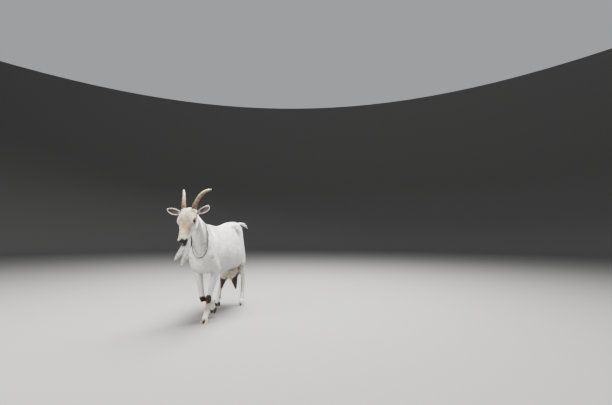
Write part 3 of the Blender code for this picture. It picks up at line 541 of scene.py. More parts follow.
def add_ear(bm, word, rows=30, columns=18):
    along, face, across = ear_frame(word)
    length = (EAR_TIPS[word] - EAR_ROOTS[word]).length
    sheet = bmesh.new()
    bmesh.ops.create_grid(sheet, x_segments=columns, y_segments=rows, size=0.5)
    for vert in sheet.verts:
        share = vert.co.y + 0.5
        swell = 0.52 + 0.48 * math.sin(math.pi * min(1, share * 1.25) * 0.62)
        half = EAR_HALF * swell * (1 - share**4.5) ** 0.62
        roll = math.radians(250 - 165 * share**0.55)
        radius = 2 * max(half, 0.0022) / roll
        angle = roll * vert.co.x
        bow = 0.010 * math.sin(math.pi * share) + radius * (math.cos(angle) - 0.35)
        vert.co = EAR_ROOTS[word] + along * share * length + across * radius * math.sin(angle) - face * bow
    bmesh.ops.recalc_face_normals(sheet, faces=sheet.faces[:])
    leaf = link("ear_sheet", to_mesh(sheet, "ear_sheet"))
    wall = leaf.modifiers.new("wall", "SOLIDIFY")
    wall.thickness, wall.offset, wall.use_even_offset = EAR_WALL, 0, True
    bm.from_mesh(evaluated(leaf))


# %% [markdown]
# The tail is short, and she holds it up and to her left. The udder hangs between the thighs in two halves,
# each with one long teat that points a little outwards.

# %% Tail and udder
TEATS = {1: Vector((0.076, 0.184, 0.161)), -1: Vector((-0.060, 0.184, 0.161))}


def add_tail(bm):
    add_tube(bm, [
        (Vector((0, 0.372, 0.712)), 0.024, 0.020),
        (Vector((0.002, 0.412, 0.740)), 0.022, 0.017),
        (Vector((0.013, 0.450, 0.750)), 0.021, 0.015),
        (Vector((0.033, 0.485, 0.738)), 0.020, 0.014),
        (Vector((0.051, 0.509, 0.719)), 0.015, 0.011),
        (Vector((0.060, 0.520, 0.705)), 0.007, 0.006),
    ])


def add_udder(bm):
    add_blob(bm, Vector((0, 0.205, 0.363)), (0.078, 0.115, 0.075))
    for side, _ in SIDES:
        spread_out = abs(TEATS[side].x) - 0.042
        add_blob(bm, Vector((side * 0.034, 0.212, 0.307)), (0.054, 0.082, 0.072))
        add_tube(bm, [
            (Vector((side * 0.042, 0.206, 0.300)), 0.033, 0.039),
            (Vector((side * (0.042 + 0.33 * spread_out), 0.196, 0.253)), 0.031, 0.033),
            (Vector((side * (0.042 + 0.60 * spread_out), 0.190, 0.217)), 0.0220, 0.0220),
            (Vector((side * (0.042 + 0.80 * spread_out), 0.187, 0.193)), 0.0155, 0.0155),
            (Vector((side * (0.042 + 0.93 * spread_out), 0.185, 0.171)), 0.0115, 0.0115),
            (TEATS[side], 0.0060, 0.0060),
        ])


# %% [markdown]
# Now the blocks are fused. A voxel remesh rebuilds their union as one closed net of even cells, fine enough
# for the ears. Its cells are then pulled smooth. How much depends on the place: muscles under a coat run
# softly together, while the face, the legs and the rims of the ears must keep their edges. A vertex group
# carries that weight.

# %% One skin over all of it
VOXEL = 0.0024


def body_blocks():
    bm = bmesh.new()
    add_trunk(bm)
    add_neck(bm)
    add_head(bm)
    for side, word in SIDES:
        add_shoulder(bm, side, Vector(FORE[word][0]))
        add_foreleg(bm, FORE[word])
        add_rump(bm, side, Vector(HIND[word][0]))
        add_hindleg(bm, HIND[word])
        add_ear(bm, word)
    add_croup(bm)
    add_tail(bm)
    add_udder(bm)
    bmesh.ops.recalc_face_normals(bm, faces=bm.faces[:])
    return to_mesh(bm, "blocks")


def ramp(value, start, stop):
    """0 before start, 1 after stop, smooth between them; value may be an array."""
    t = np.clip((value - start) / (stop - start), 0.0, 1.0)
    return t * t * (3 - 2 * t)


def points_of(mesh):
    flat = np.empty(len(mesh.vertices) * 3, np.float32)
    mesh.vertices.foreach_get("co", flat)
    return flat.reshape(-1, 3).astype(np.float64)


def set_points(mesh, points):
    mesh.vertices.foreach_set("co", points.astype(np.float32).ravel())
    mesh.update()


def face_frame(points):
    """Points in the head's frame, as side, share of the head's length, and up."""
    off = points - np.array(POLL)
    return off[:, 0], off @ np.array(FORWARD) / HEAD_LENGTH, off @ np.array(UP)


def on_ears(points):
    """1 on the free part of the ears, 0 elsewhere."""
    found = np.zeros(len(points))
    for _, word in SIDES:
        along, _, _ = ear_frame(word)
        length = (EAR_TIPS[word] - EAR_ROOTS[word]).length
        share = (points - np.array(EAR_ROOTS[word])) @ np.array(along) / length
        close = np.abs(points[:, 2] - EAR_TIPS[word].z) < 0.07
        found = np.maximum(found, ramp(share, 0.10, 0.30) * close * (points[:, 1] < -0.50))
    return found


def softness(points):
    """How far the muscles run together: 0 on the face and the legs, 1 on the trunk and neck."""
    off = points - np.array(on_head(0, 0.5 * HEAD_LENGTH, 0))
    away = ramp(np.linalg.norm(off, axis=1), 0.150, 0.235)
    away = np.maximum(away, 0.7 * ramp(off @ np.array(FORWARD) / HEAD_LENGTH, -0.50, -0.66))
    legs = 0.12 + 0.88 * ramp(points[:, 2], 0.30, 0.42)
    tail = 1 - 0.88 * ramp(points[:, 1], 0.430, 0.458)
    return away * np.minimum(legs, tail)


def weighted(piece, name, weights):
    """A vertex group; weights are rounded to steps, so that few calls fill it."""
    group = piece.vertex_groups.new(name=name)
    steps = np.rint(np.clip(weights, 0, 1) * 100).astype(int)
    for step in np.unique(steps):
        group.add(np.nonzero(steps == step)[0].tolist(), step / 100, "REPLACE")
    return group.name


def smoothed(mesh, weights, iterations):
    piece = link("smoothing", mesh)
    smooth = piece.modifiers.new("smooth", "SMOOTH")
    smooth.factor, smooth.iterations = 0.5, iterations
    smooth.vertex_group = weighted(piece, "soft", weights)
    return evaluated(piece)


blocks = link("blocks", body_blocks())
fuse = blocks.modifiers.new("fuse", "REMESH")
fuse.mode, fuse.voxel_size, fuse.adaptivity = "VOXEL", VOXEL, 0
skin_mesh = evaluated(blocks)
places = points_of(skin_mesh)
skin_mesh = smoothed(skin_mesh, 1 - 0.45 * on_ears(places), 16)
places = points_of(skin_mesh)
skin_mesh = smoothed(skin_mesh, softness(places) * (1 - on_ears(places)), 170)
print("skin:", len(skin_mesh.vertices), "points")


# %% [markdown]
# The solids give the outline out to the tips of the hair, so the skin lies inside them by the depth of the
# coat: about five millimetres on the trunk and less than two on the face and the lower legs. Moving every
# point in along its normal does that. The ears keep their thickness, because their hair is as short as the
# gristle is thin.

# %% Sink the skin under the coat
def normals_of(mesh):
    flat = np.empty(len(mesh.vertices) * 3, np.float32)
    mesh.vertices.foreach_get("normal", flat)
    return flat.reshape(-1, 3).astype(np.float64)


def coat_depth(points):
    legs = ramp(points[:, 2], 0.20, 0.42)
    _, share, _ = face_frame(points)
    face = ramp(share, 0.05, -0.35)
    udder = udder_share(points)
    return (0.0016 + 0.0034 * legs * face) * (1 - 0.8 * udder) * (1 - on_ears(points))


def udder_share(points):
    """1 on the bare skin of the udder and teats, 0 elsewhere."""
    off = (points - np.array((0, 0.205, 0.27))) / np.array((0.100, 0.105, 0.125))
    inner = ramp(np.linalg.norm(off, axis=1), 1.06, 0.90)
    return inner * ramp(points[:, 2], 0.372, 0.335) * ramp(np.abs(points[:, 0]), 0.098, 0.088)


skin_mesh.update()
places = points_of(skin_mesh)
set_points(skin_mesh, places - normals_of(skin_mesh) * coat_depth(places)[:, None])

# %% [markdown]
# ## Details of the skin
#
# A sculptor now works with a small tool. In code such a tool is a function that moves each point along its
# normal by an amount that fades with distance: `dent` for a hollow or a bump, and `groove` along a line of
# points. The face needs finer cells than the rest, so its faces are divided first.

# %% Finer cells on the face
def refine(mesh, chosen):
    """Divides the faces whose middle is chosen, once."""
    bm = bmesh.new()
    bm.from_mesh(mesh)
    bm.faces.ensure_lookup_table()
    middles = np.array([face.calc_center_median() for face in bm.faces])
    keep = chosen(middles)
    edges = {edge for face, wanted in zip(bm.faces, keep) if wanted for edge in face.edges}
    bmesh.ops.subdivide_edges(bm, edges=list(edges), cuts=1, use_grid_fill=True)
    bm.to_mesh(mesh)
    bm.free()


def near_features(points):
    side, share, up = face_frame(points)
    from_eye = np.stack((np.abs(side) - EYE[0], share * HEAD_LENGTH - EYE[1], up - EYE[2]))
    eyes = np.linalg.norm(from_eye, axis=0) < 0.034
    mouth = (share > 0.74) & (share < 1.1) & (np.abs(side) < 0.045) & (points[:, 2] < 0.66)
    return eyes | mouth


refine(skin_mesh, near_features)
print("with finer face:", len(skin_mesh.polygons), "faces")


# %% Sculpting tools
def dent(points, centre, radii, height):
    """A soft hollow, or a bump where height is above 0, inside an egg of these radii."""
    off = np.linalg.norm((points - np.array(centre)) / np.array(radii), axis=1)
    return height * ramp(off, 1.0, 0.0)


def line_distance(points, line):
    """How far each point is from a bent line, and how far along it the nearest place is, from 0 to 1."""
    best, where = np.full(len(points), 1e9), np.zeros(len(points))
    count = len(line) - 1
    for i, (start, stop) in enumerate(zip(line, line[1:])):
        start, stop = np.array(start), np.array(stop)
        way = stop - start
        t = np.clip((points - start) @ way / (way @ way), 0, 1)
        gap = np.linalg.norm(points - start - t[:, None] * way, axis=1)
        closer = gap < best
        best = np.where(closer, gap, best)
        where = np.where(closer, (i + t) / count, where)
    return best, where


def laid_on_skin(line, steps=5):
    """The line as a smooth curve, each point moved to the nearest spot of the skin."""
    return [tree.find_nearest(Vector(point))[0] for point in spline(line, steps)]


def groove(points, line, width, height, fade=0.15):
    gap, where = line_distance(points, laid_on_skin(line))
    return height * np.exp(-((gap / width) ** 2)) * np.minimum(ramp(where, 0, fade), ramp(where, 1, 1 - fade))


# %% [markdown]
# A goat's upper lip is split by a groove, her nostrils are slanted commas, and the mouth is a long line
# that turns up at its corner. Behind it the cheek hangs over the teeth. From the inner corner of the eye a
# shallow tear line runs down, and above the eye the brow stands out.

# %% Face
def face_relief(p):
    def h(side, share, up):
        return on_head(side, share * HEAD_LENGTH, up)

    split = [h(0, 0.945, 0.024), h(0, 0.985, 0.010), h(0, 1.004, -0.004), h(0, 0.995, -0.018)]
    total = groove(p, split, 0.0016, -0.0022)
    for s in (1, -1):
        mouth = [h(0, 0.985, -0.0235), h(s * 0.012, 0.965, -0.0225), h(s * 0.021, 0.90, -0.0225),
                 h(s * 0.025, 0.82, -0.0235), h(s * 0.029, 0.755, -0.0200)]
        total = total + groove(p, mouth, 0.0019, -0.0034, 0.10)
        low_lip = [h(s * 0.020, 0.93, -0.0315), h(s * 0.022, 0.84, -0.0335)]
        total = total + groove(p, low_lip, 0.0045, 0.0010, 0.3)
        nostril = [h(s * 0.0085, 0.985, 0.0030), h(s * 0.0150, 0.972, 0.0075), h(s * 0.0235, 0.945, 0.0105),
                   h(s * 0.0290, 0.905, 0.0080)]
        total = total + groove(p, nostril, 0.0026, -0.0062, 0.22)
        rim = [h(s * 0.0100, 0.975, 0.0120), h(s * 0.0180, 0.950, 0.0170), h(s * 0.0280, 0.905, 0.0140)]
        total = total + groove(p, rim, 0.0030, 0.0014, 0.3)
        total = total + dent(p, h(s * 0.036, 0.52, -0.012), (0.012, 0.030, 0.030), 0.0020)
        total = total + dent(p, h(s * 0.040, 0.62, 0.012), (0.020, 0.030, 0.024), -0.0022)
        tear_line = [h(s * 0.053, 0.425, 0.014), h(s * 0.047, 0.49, 0.006), h(s * 0.041, 0.57, 0.000)]
        total = total + groove(p, tear_line, 0.0045, -0.0014, 0.5)
        total = total + dent(p, h(s * 0.056, 0.19, 0.028), (0.015, 0.022, 0.018), -0.0026)
    return total


# %% [markdown]
# The trunk gets what short hair can't hide: the hollow of the flank in front of the hip, the last ribs, the
# groove of the jugular vein along the neck, the crease behind the elbow and the folds that the walking legs
# pull.

# %% Trunk, legs and udder
def body_relief(p):
    total = np.zeros(len(p))
    for s, word in SIDES:
        total += dent(p, (s * 0.112, 0.180, 0.610), (0.050, 0.060, 0.080), -0.0035)
        total += dent(p, (s * 0.076, 0.228, 0.664), (0.042, 0.066, 0.046), 0.0140)
        total += dent(p, (s * 0.052, 0.340, 0.690), (0.034, 0.052, 0.046), 0.0060)
        total += dent(p, (s * 0.068, 0.170, 0.694), (0.036, 0.060, 0.044), 0.0050)
        for i in range(5):
            y = 0.060 - 0.034 * i
            rib = [(s * 0.11, y - 0.010, 0.640), (s * 0.165, y + 0.004, 0.540), (s * 0.160, y - 0.012, 0.420)]
            total += groove(p, rib, 0.0090, 0.0016, 0.35)
        throat = [(s * 0.040, -0.490, 0.655), (s * 0.046, -0.440, 0.580), (s * 0.050, -0.405, 0.500)]
        total += groove(p, throat, 0.0110, -0.0024, 0.5)
        elbow = [(s * 0.095, -0.210, 0.470), (s * 0.098, -0.200, 0.410), (s * 0.090, -0.205, 0.360)]
        total += groove(p, elbow, 0.0110, -0.0030, 0.5)
        stifle = [(s * 0.132, 0.135, 0.470), (s * 0.122, 0.170, 0.430), (s * 0.112, 0.195, 0.400)]
        total += groove(p, stifle, 0.0110, -0.0014, 0.5)
        knee, foot = np.array(FORE[word][1]), FORE[word][2]
        fetlock = np.array(foot @ FETLOCK)
        total += shank_grooves(p, knee, fetlock)
        total += shank_grooves(p, np.array(HIND[word][1]), np.array(HIND[word][2] @ FETLOCK))
    total += groove(p, [(0, -0.240, 0.74), (0, 0.0, 0.74), (0, 0.300, 0.77)], 0.0070, 0.0016, 0.1)
    between_halves = [(0, 0.130, 0.30), (0, 0.140, 0.24), (0, 0.290, 0.25), (0, 0.320, 0.36)]
    total += groove(p, between_halves, 0.0080, -0.0070, 0.1)
    return total


def shank_grooves(p, top, low):
    """The hollow between bone and tendon, on both sides of the cannon."""
    total = 0
    for side in (0.017, -0.017):
        line = [top * (1 - t) + low * t + np.array((side, 0.006, 0)) for t in (0.15, 0.5, 0.86)]
        total = total + groove(p, line, 0.0045, -0.0020, 0.2)
    return total


places = points_of(skin_mesh)
skin_mesh.update()
tree = BVHTree.FromPolygons([v.co for v in skin_mesh.vertices], [p.vertices for p in skin_mesh.polygons])
relief = face_relief(places) + body_relief(places)
set_points(skin_mesh, places + normals_of(skin_mesh) * relief[:, None])

# %% [markdown]
# The eye sits deep between two lids. Where the skin covers the ball it is pressed to the ball's own
# surface: inside an almond-shaped opening it goes under the ball, at the almond's edge it rises into a lid
# a little thicker than the skin, and further out it runs back into the orbit. Only the distance from the
# ball's centre changes.

# %% Eyelids
LID = 0.0012
SLIT_TILT = math.radians(-30)


def eye_opening(along, up):
    """1 on the edge of the opening between the lids, less inside it; the slit lies flatter than the face."""
    a = along * math.cos(SLIT_TILT) - up * math.sin(SLIT_TILT)
    u = along * math.sin(SLIT_TILT) + up * math.cos(SLIT_TILT)
    half_height = np.where(u > 0, 0.0078, 0.0062) * (1 - 0.30 * np.clip(a / 0.0125, -1, 1) ** 2)
    return np.sqrt((a / 0.0128) ** 2 + (u / half_height) ** 2), u


def lidded(points):
    points = points.copy()
    for s in (1, -1):
        off = points - np.array(on_head(s * EYE[0], EYE[1], EYE[2]))
        out, along, up = off[:, 0] * s, off @ np.array(FORWARD), off @ np.array(UP)
        opening, above = eye_opening(along, up)
        radial = along**2 + up**2
        ball = np.sqrt(np.maximum(EYE_RADIUS**2 - radial, 0))
        lid = np.sqrt(np.maximum((EYE_RADIUS + LID) ** 2 - radial, 0.0045**2))
        under = ball - 0.0030
        height = under + (lid - under) * ramp(opening, 0.86, 1.03)
        height = height + 0.0007 * np.exp(-(((opening - 1.12) / 0.10) ** 2))
        height = height - 0.0013 * np.exp(-(((opening - 1.62) / 0.13) ** 2)) * ramp(above, -0.006, 0.002)
        height = height - 0.0007 * np.exp(-(((opening - 1.95) / 0.16) ** 2)) * ramp(above, 0.002, -0.006)
        share = ramp(opening, 2.90, 1.15) * (out > -0.002) * (radial < 0.032**2)
        points[:, 0] += s * (height - out) * share
    return points


set_points(skin_mesh, lidded(points_of(skin_mesh)))

# %% [markdown]
# The net is still far finer on the broad flanks than it needs to be. Decimate thins it where the same
# softness weight is high, and keeps the face. The thinned skin is then unwrapped, cut only where its own
# shape turns away, and the tufts of the coat take their places on the map from it.

# %% Thin and unwrap
SKIN_FACES = 196_000


def thinned(mesh, faces, weights):
    piece = link("thinning", mesh)
    thin = piece.modifiers.new("thin", "DECIMATE")
    thin.ratio = faces / sum(len(face.vertices) - 2 for face in mesh.polygons)
    thin.vertex_group, thin.vertex_group_factor = weighted(piece, "plain", weights), 1.0
    return evaluated(piece)


def unwrapped(piece, margin=0.001):
    bpy.context.view_layer.objects.active = piece
    piece.select_set(True)
    piece.data.uv_layers.new(name="OFBake")
    bpy.ops.object.mode_set(mode="EDIT")
    bpy.ops.mesh.select_all(action="SELECT")
    bpy.ops.uv.smart_project(angle_limit=math.radians(66), island_margin=margin, scale_to_bounds=True)
    bpy.ops.object.mode_set(mode="OBJECT")
    piece.select_set(False)


skin_mesh = thinned(skin_mesh, SKIN_FACES, 0.42 + 0.58 * softness(points_of(skin_mesh)))
skin_mesh.transform(Matrix.Translation(FROM_LAYOUT))
skin_mesh.shade_smooth()
skin = link("skin", skin_mesh)
unwrapped(skin)
print("skin thinned to", sum(len(face.vertices) - 2 for face in skin.data.polygons), "triangles")

# %% [markdown]
# ## Colours of the animal
#
# She is white, but not evenly: cream on the forehead and nose, black round the nostrils with a purple-pink
# lip, callused black knees, pinkish shins, a belly darkened by earth stain and by painted shade, and teats
# and lower udder painted dark as they look in shade. Skin and hair carry the same marks, so the marks are
# one node group that both materials use. It reads a position on the animal and gives a colour. Each mark is
# a soft ball or slab at a named place of the body, with its edge broken up by noise.

# %% Node helpers
COAT_WHITE = (0.86, 0.85, 0.82)


def new_group(name, inputs, outputs):
    made = bpy.data.node_groups.new(name, "ShaderNodeTree")
    for socket, kind in inputs.items():
        made.interface.new_socket(name=socket, in_out="INPUT", socket_type=kind)
    for socket, kind in outputs.items():
        made.interface.new_socket(name=socket, in_out="OUTPUT", socket_type=kind)
    return made, made.nodes.new("NodeGroupInput"), made.nodes.new("NodeGroupOutput")


def use_group(tree, group):
    node = tree.nodes.new("ShaderNodeGroup")
    node.node_tree = group
    return node


def put(tree, socket, value):
    """Links an output into a socket, or sets the socket to a constant."""
    if isinstance(value, bpy.types.NodeSocket):
        tree.links.new(value, socket)
    elif socket.type == "RGBA" and len(value) == 3:
        socket.default_value = (*value, 1)
    else:
        socket.default_value = value


def maths(tree, operation, *values, clamp=False):
    node = tree.nodes.new("ShaderNodeMath")
    node.operation, node.use_clamp = operation, clamp
    for socket, value in zip(node.inputs, values):
        put(tree, socket, value)
    return node.outputs[0]


def vector_maths(tree, operation, *values):
    node = tree.nodes.new("ShaderNodeVectorMath")
    node.operation = operation
    for socket, value in zip(node.inputs, values):
        put(tree, socket, value)
    return node.outputs["Value" if operation in ("DISTANCE", "DOT_PRODUCT", "LENGTH") else "Vector"]


def fade(tree, value, start, stop):
    """0 at start, 1 at stop, smooth between them."""
    node = tree.nodes.new("ShaderNodeMapRange")
    node.interpolation_type = "SMOOTHSTEP"
    put(tree, node.inputs["Value"], value)
    node.inputs["From Min"].default_value, node.inputs["From Max"].default_value = start, stop
    return node.outputs["Result"]


def mix(tree, share, first, second):
    node = tree.nodes.new("ShaderNodeMix")
    node.data_type = "RGBA"
    put(tree, node.inputs[0], share)
    put(tree, node.inputs[6], first)
    put(tree, node.inputs[7], second)
    return node.outputs[2]


def noise(tree, position, scale, detail=3.0, roughness=0.55):
    node = tree.nodes.new("ShaderNodeTexNoise")
    put(tree, node.inputs["Vector"], position)
    node.inputs["Scale"].default_value = scale
    node.inputs["Detail"].default_value = detail
    node.inputs["Roughness"].default_value = roughness
    return node.outputs["Fac"]


# %% [markdown]
# `ball` and `slab` make the masks of the marks. Their places are worked out from the same joints and head
# frame as the body, moved into the frame's own coordinates.

# %% Masks
def in_frame(point):
    return tuple(Vector(point) + FROM_LAYOUT)


def ball(tree, position, centre, radius, edge=0.35):
    """1 inside a ball, fading to 0 at its radius."""
    away = vector_maths(tree, "DISTANCE", position, in_frame(centre))
    return fade(tree, away, radius, radius * (1 - edge))


def slab(tree, position, point, way, start, stop):
    """0 before start and 1 after stop, measured from a point along a way."""
    way = Vector(way).normalized()
    along = vector_maths(tree, "DOT_PRODUCT", position, tuple(way))
    base = Vector(in_frame(point)) @ way
    return fade(tree, along, base + start, base + stop)


def all_of(tree, *masks):
    found = masks[0]
    for mask in masks[1:]:
        found = maths(tree, "MULTIPLY", found, mask)
    return found


def any_of(tree, *masks):
    found = masks[0]
    for mask in masks[1:]:
        found = maths(tree, "MAXIMUM", found, mask)
    return found


# %% The marks, as one group
def marks_group():
    tree, inward, outward = new_group(
        "doe_marks", {"Position": "NodeSocketVector"}, {"Color": "NodeSocketColor", "Bare": "NodeSocketFloat"}
    )
    here = inward.outputs["Position"]
    cloud = tree.nodes.new("ShaderNodeTexNoise")
    put(tree, cloud.inputs["Vector"], here)
    cloud.inputs["Scale"].default_value, cloud.inputs["Detail"].default_value = 45, 4
    wobble = vector_maths(tree, "SUBTRACT", cloud.outputs["Color"], (0.5, 0.5, 0.5))
    spot = vector_maths(tree, "ADD", here, vector_maths(tree, "MULTIPLY", wobble, (0.022, 0.022, 0.022)))

    colour = mix(tree, fade(tree, noise(tree, here, 7.0), 0.35, 0.75), COAT_WHITE, (0.79, 0.775, 0.730))
    face = slab(tree, here, POLL, FORWARD, -0.050, 0.030)
    blotch = fade(tree, noise(tree, here, 38.0), 0.36, 0.62)
    forehead = all_of(tree, face, ball(tree, spot, on_head(0, 0.16 * HEAD_LENGTH, 0.050), 0.118, 0.55))
    nose = all_of(tree, face, ball(tree, spot, on_head(-0.006, 0.68 * HEAD_LENGTH, 0.034), 0.080, 0.6))
    cream = maths(tree, "MULTIPLY", forehead, maths(tree, "MULTIPLY_ADD", blotch, 0.38, 0.58))
    colour = mix(tree, cream, colour, (0.425, 0.350, 0.225))
    yellow = maths(tree, "MULTIPLY", nose, maths(tree, "MULTIPLY_ADD", blotch, 0.45, 0.45))
    colour = mix(tree, yellow, colour, (0.50, 0.355, 0.130))
    # Earth stain low on her left side in front of the udder, made darker still as painted shade of the
    # belly's underside.
    belly_stain_and_shade = any_of(tree, *(
        ball(tree, spot, (0.080 + 0.008 * step, 0.010 + 0.044 * step, 0.350), 0.062, 0.80)
        for step in range(5)
    ))
    belly_stain_and_shade = maths(tree, "MULTIPLY", belly_stain_and_shade, maths(tree, "MULTIPLY_ADD", blotch, 0.60, 0.38))
    colour = mix(tree, belly_stain_and_shade, colour, (0.165, 0.120, 0.070))
    shins = (FORE["left"], 0.75), (FORE["right"], 0.45), (HIND["left"], 0.55), (HIND["right"], 0.35)
    for leg, strength in shins:
        middle = Vector(leg[1]).lerp(leg[2] @ FETLOCK, 0.5)
        shin = ball(tree, spot, middle, 0.060, 0.45)
        colour = mix(tree, maths(tree, "MULTIPLY", shin, strength), colour, (0.62, 0.45, 0.36))
    for word, reach in (("left", 0.037), ("right", 0.040)):
        pad = knee_front(FORE[word], 0.020) + Vector((0, 0, -0.004))
        colour = mix(tree, ball(tree, spot, pad, reach, 0.28), colour, (0.036, 0.024, 0.018))
    fleck = ball(tree, spot, knee_front(FORE["left"], 0.020) + Vector((-0.016, 0, -0.028)), 0.020, 0.7)
    colour = mix(tree, maths(tree, "MULTIPLY", fleck, 0.85), colour, (0.34, 0.145, 0.050))

    muzzle = all_of(tree, ball(tree, spot, on_head(0.006, 0.960 * HEAD_LENGTH, -0.006), 0.040, 0.30), face)
    colour = mix(tree, muzzle, colour, (0.026, 0.022, 0.022))
    lip = ball(tree, spot, on_head(-0.010, 1.000 * HEAD_LENGTH, -0.022), 0.017, 0.5)
    colour = mix(tree, maths(tree, "MULTIPLY", lip, 0.85), colour, (0.33, 0.17, 0.24))
    lids = any_of(tree, *(
        ball(tree, spot, on_head(s * (EYE[0] + 0.003), EYE[1] + 0.002, EYE[2]), 0.0225, 0.35)
        for s in (1, -1)
    ))
    colour = mix(tree, maths(tree, "MULTIPLY", lids, 0.96), colour, (0.075, 0.045, 0.031))
    tear = any_of(tree, *(
        ball(tree, spot, on_head(s * (EYE[0] - 0.006), EYE[1] + 0.026, EYE[2] - 0.002), 0.018, 0.8)
        for s in (1, -1)
    ))
    colour = mix(tree, maths(tree, "MULTIPLY", tear, 0.40), colour, (0.34, 0.27, 0.20))

    below_belly = slab(tree, here, (0, 0, 0.345), (0, 0, -1), 0, 0.02)
    udder = all_of(tree, ball(tree, here, (0, 0.200, 0.270), 0.120, 0.12), below_belly)
    bag = mix(tree, fade(tree, noise(tree, here, 26.0), 0.35, 0.65), (0.40, 0.325, 0.225), (0.58, 0.51, 0.39))
    colour = mix(tree, maths(tree, "MULTIPLY", udder, 0.85), colour, bag)
    # Painted shade: the teats, the lower sides of the udder and its fold against each thigh are darkened to
    # near black, and the teat tips to dark red, as their pink skin looks in shade.
    for s in (1, -1):
        low = TEATS[s]
        root = ball(tree, spot, low + Vector((-s * 0.004, 0.010, 0.085)), 0.052, 0.40)
        teat = all_of(tree, ball(tree, here, low + Vector((-s * 0.008, 0.004, 0.030)), 0.070, 0.35),
                      slab(tree, here, low, (0, 0, -1), -0.090, -0.070))
        outside = all_of(tree, ball(tree, spot, low + Vector((s * 0.014, 0.020, 0.112)), 0.050, 0.45),
                         slab(tree, spot, (s * 0.092, 0, 0), (-s, 0, 0), -0.004, 0.006))
        colour = mix(tree, any_of(tree, root, teat, outside), colour, (0.046, 0.029, 0.023))
        tip = ball(tree, spot, low + Vector((0, 0, 0.010)), 0.036, 0.8)
        colour = mix(tree, maths(tree, "MULTIPLY", tip, 0.72), colour, (0.150, 0.048, 0.034))
    tree.links.new(colour, outward.inputs["Color"])
    tree.links.new(any_of(tree, muzzle, udder), outward.inputs["Bare"])
    return tree


DOE_MARKS = marks_group()
print("marks group:", len(DOE_MARKS.nodes), "nodes")

# %% [markdown]
# Short hair that lies flat is mostly bump: fine lines that run the way the hair grows. A noise that is
# stretched along that way gives them. On the trunk it is drawn out backwards and down, on the legs straight
# down.

# %% Hair lines as a bump group
def hair_lines_group():
    taken = {"Position": "NodeSocketVector", "Fineness": "NodeSocketFloat"}
    tree, inward, outward = new_group("hair_lines", taken, {"Height": "NodeSocketFloat"})
    here = inward.outputs["Position"]
    lines = []
    for turn, squeeze in (((0.35, 0, 0), (1.0, 0.16, 0.9)), ((0, 0, 0), (1.0, 1.0, 0.14))):
        node = tree.nodes.new("ShaderNodeMapping")
        put(tree, node.inputs["Vector"], here)
        node.inputs["Rotation"].default_value = turn
        node.inputs["Scale"].default_value = squeeze
        streak = tree.nodes.new("ShaderNodeTexNoise")
        put(tree, streak.inputs["Vector"], node.outputs["Vector"])
        put(tree, streak.inputs["Scale"], inward.outputs["Fineness"])
        streak.inputs["Detail"].default_value = 3
        lines.append(streak.outputs["Fac"])
    legs = slab(tree, here, (0, 0, 0.42), (0, 0, -1), 0, 0.10)
    blend = tree.nodes.new("ShaderNodeMix")
    put(tree, blend.inputs[0], legs)
    put(tree, blend.inputs[2], lines[0])
    put(tree, blend.inputs[3], lines[1])
    tree.links.new(blend.outputs[0], outward.inputs["Height"])
    return tree


HAIR_LINES = hair_lines_group()


def bumped(tree, shader, height, strength, distance):
    node = tree.nodes.new("ShaderNodeBump")
    node.inputs["Strength"].default_value, node.inputs["Distance"].default_value = strength, distance
    put(tree, node.inputs["Height"], height)
    tree.links.new(node.outputs["Normal"], shader.inputs["Normal"])


def object_position(tree):
    return tree.nodes.new("ShaderNodeTexCoord").outputs["Object"]


# %% [markdown]
# The skin shows where the hair is thin: nose, lips, lids, inside of the ears, udder. There it is smoother
# and a little moist. Two masks say where: the attribute `ear_cup` is 1 on the hollow side of the ears, and
# the group's own `Bare` output covers the nose and the udder.

# %% Skin material
def skin_material():
    made, tree, shader = principled("goat_skin", 0.8)
    here = object_position(tree)
    marks = use_group(tree, DOE_MARKS)
    put(tree, marks.inputs["Position"], here)
    cup = tree.nodes.new("ShaderNodeAttribute")
    cup.attribute_name = "ear_cup"
    pores = noise(tree, here, 420.0, 2.0)
    cloudy = fade(tree, noise(tree, here, 60.0), 0.4, 0.65)
    inside = mix(tree, cloudy, (0.034, 0.018, 0.010), (0.090, 0.048, 0.026))
    colour = mix(tree, maths(tree, "MULTIPLY", cup.outputs["Fac"], 0.92), marks.outputs["Color"], inside)
    tree.links.new(colour, shader.inputs["Base Color"])
    rough = maths(tree, "MULTIPLY_ADD", marks.outputs["Bare"], -0.32, 0.82)
    tree.links.new(rough, shader.inputs["Roughness"])
    lines = use_group(tree, HAIR_LINES)
    put(tree, lines.inputs["Position"], here)
    lines.inputs["Fineness"].default_value = 420
    height = tree.nodes.new("ShaderNodeMix")
    put(tree, height.inputs[0], marks.outputs["Bare"])
    put(tree, height.inputs[2], lines.outputs["Height"])
    put(tree, height.inputs[3], pores)
    bumped(tree, shader, height.outputs[0], 0.55, 0.0012)
    shader.inputs["Subsurface Weight"].default_value = 0.08
    shader.inputs["Subsurface Radius"].default_value = (0.008, 0.003, 0.002)
    return made


def ear_rim(points):
    """1 on the two rims of an ear, 0 towards the middle of its cup."""
    found = np.zeros(len(points))
    for _, word in SIDES:
        along, _, across = ear_frame(word)
        off = points - np.array(EAR_ROOTS[word])
        share = np.clip(off @ np.array(along) / (EAR_TIPS[word] - EAR_ROOTS[word]).length, 0.02, 1)
        half = EAR_HALF * (0.52 + 0.48 * np.sin(math.pi * np.minimum(1, share * 1.25) * 0.62))
        half = half * (1 - share**4.5) ** 0.62
        roll = np.radians(np.minimum(250 - 165 * share**0.55, 180))
        reach = np.abs(off @ np.array(across)) / np.maximum(2 * half / roll * np.sin(roll / 2), 0.002)
        near = np.sign(points[:, 0]) == (1 if word == "left" else -1)
        found = np.maximum(found, near * ramp(reach, 0.66, 0.90))
    return found


def ear_cup(points, normals):
    """1 on the hollow side of the ears."""
    found = np.zeros(len(points))
    for _, word in SIDES:
        _, face, _ = ear_frame(word)
        near = np.sign(points[:, 0]) == (1 if word == "left" else -1)
        found = np.maximum(found, near * ramp(normals @ np.array(face), -0.1, 0.35))
    return found * on_ears(points) * (1 - ear_rim(points))


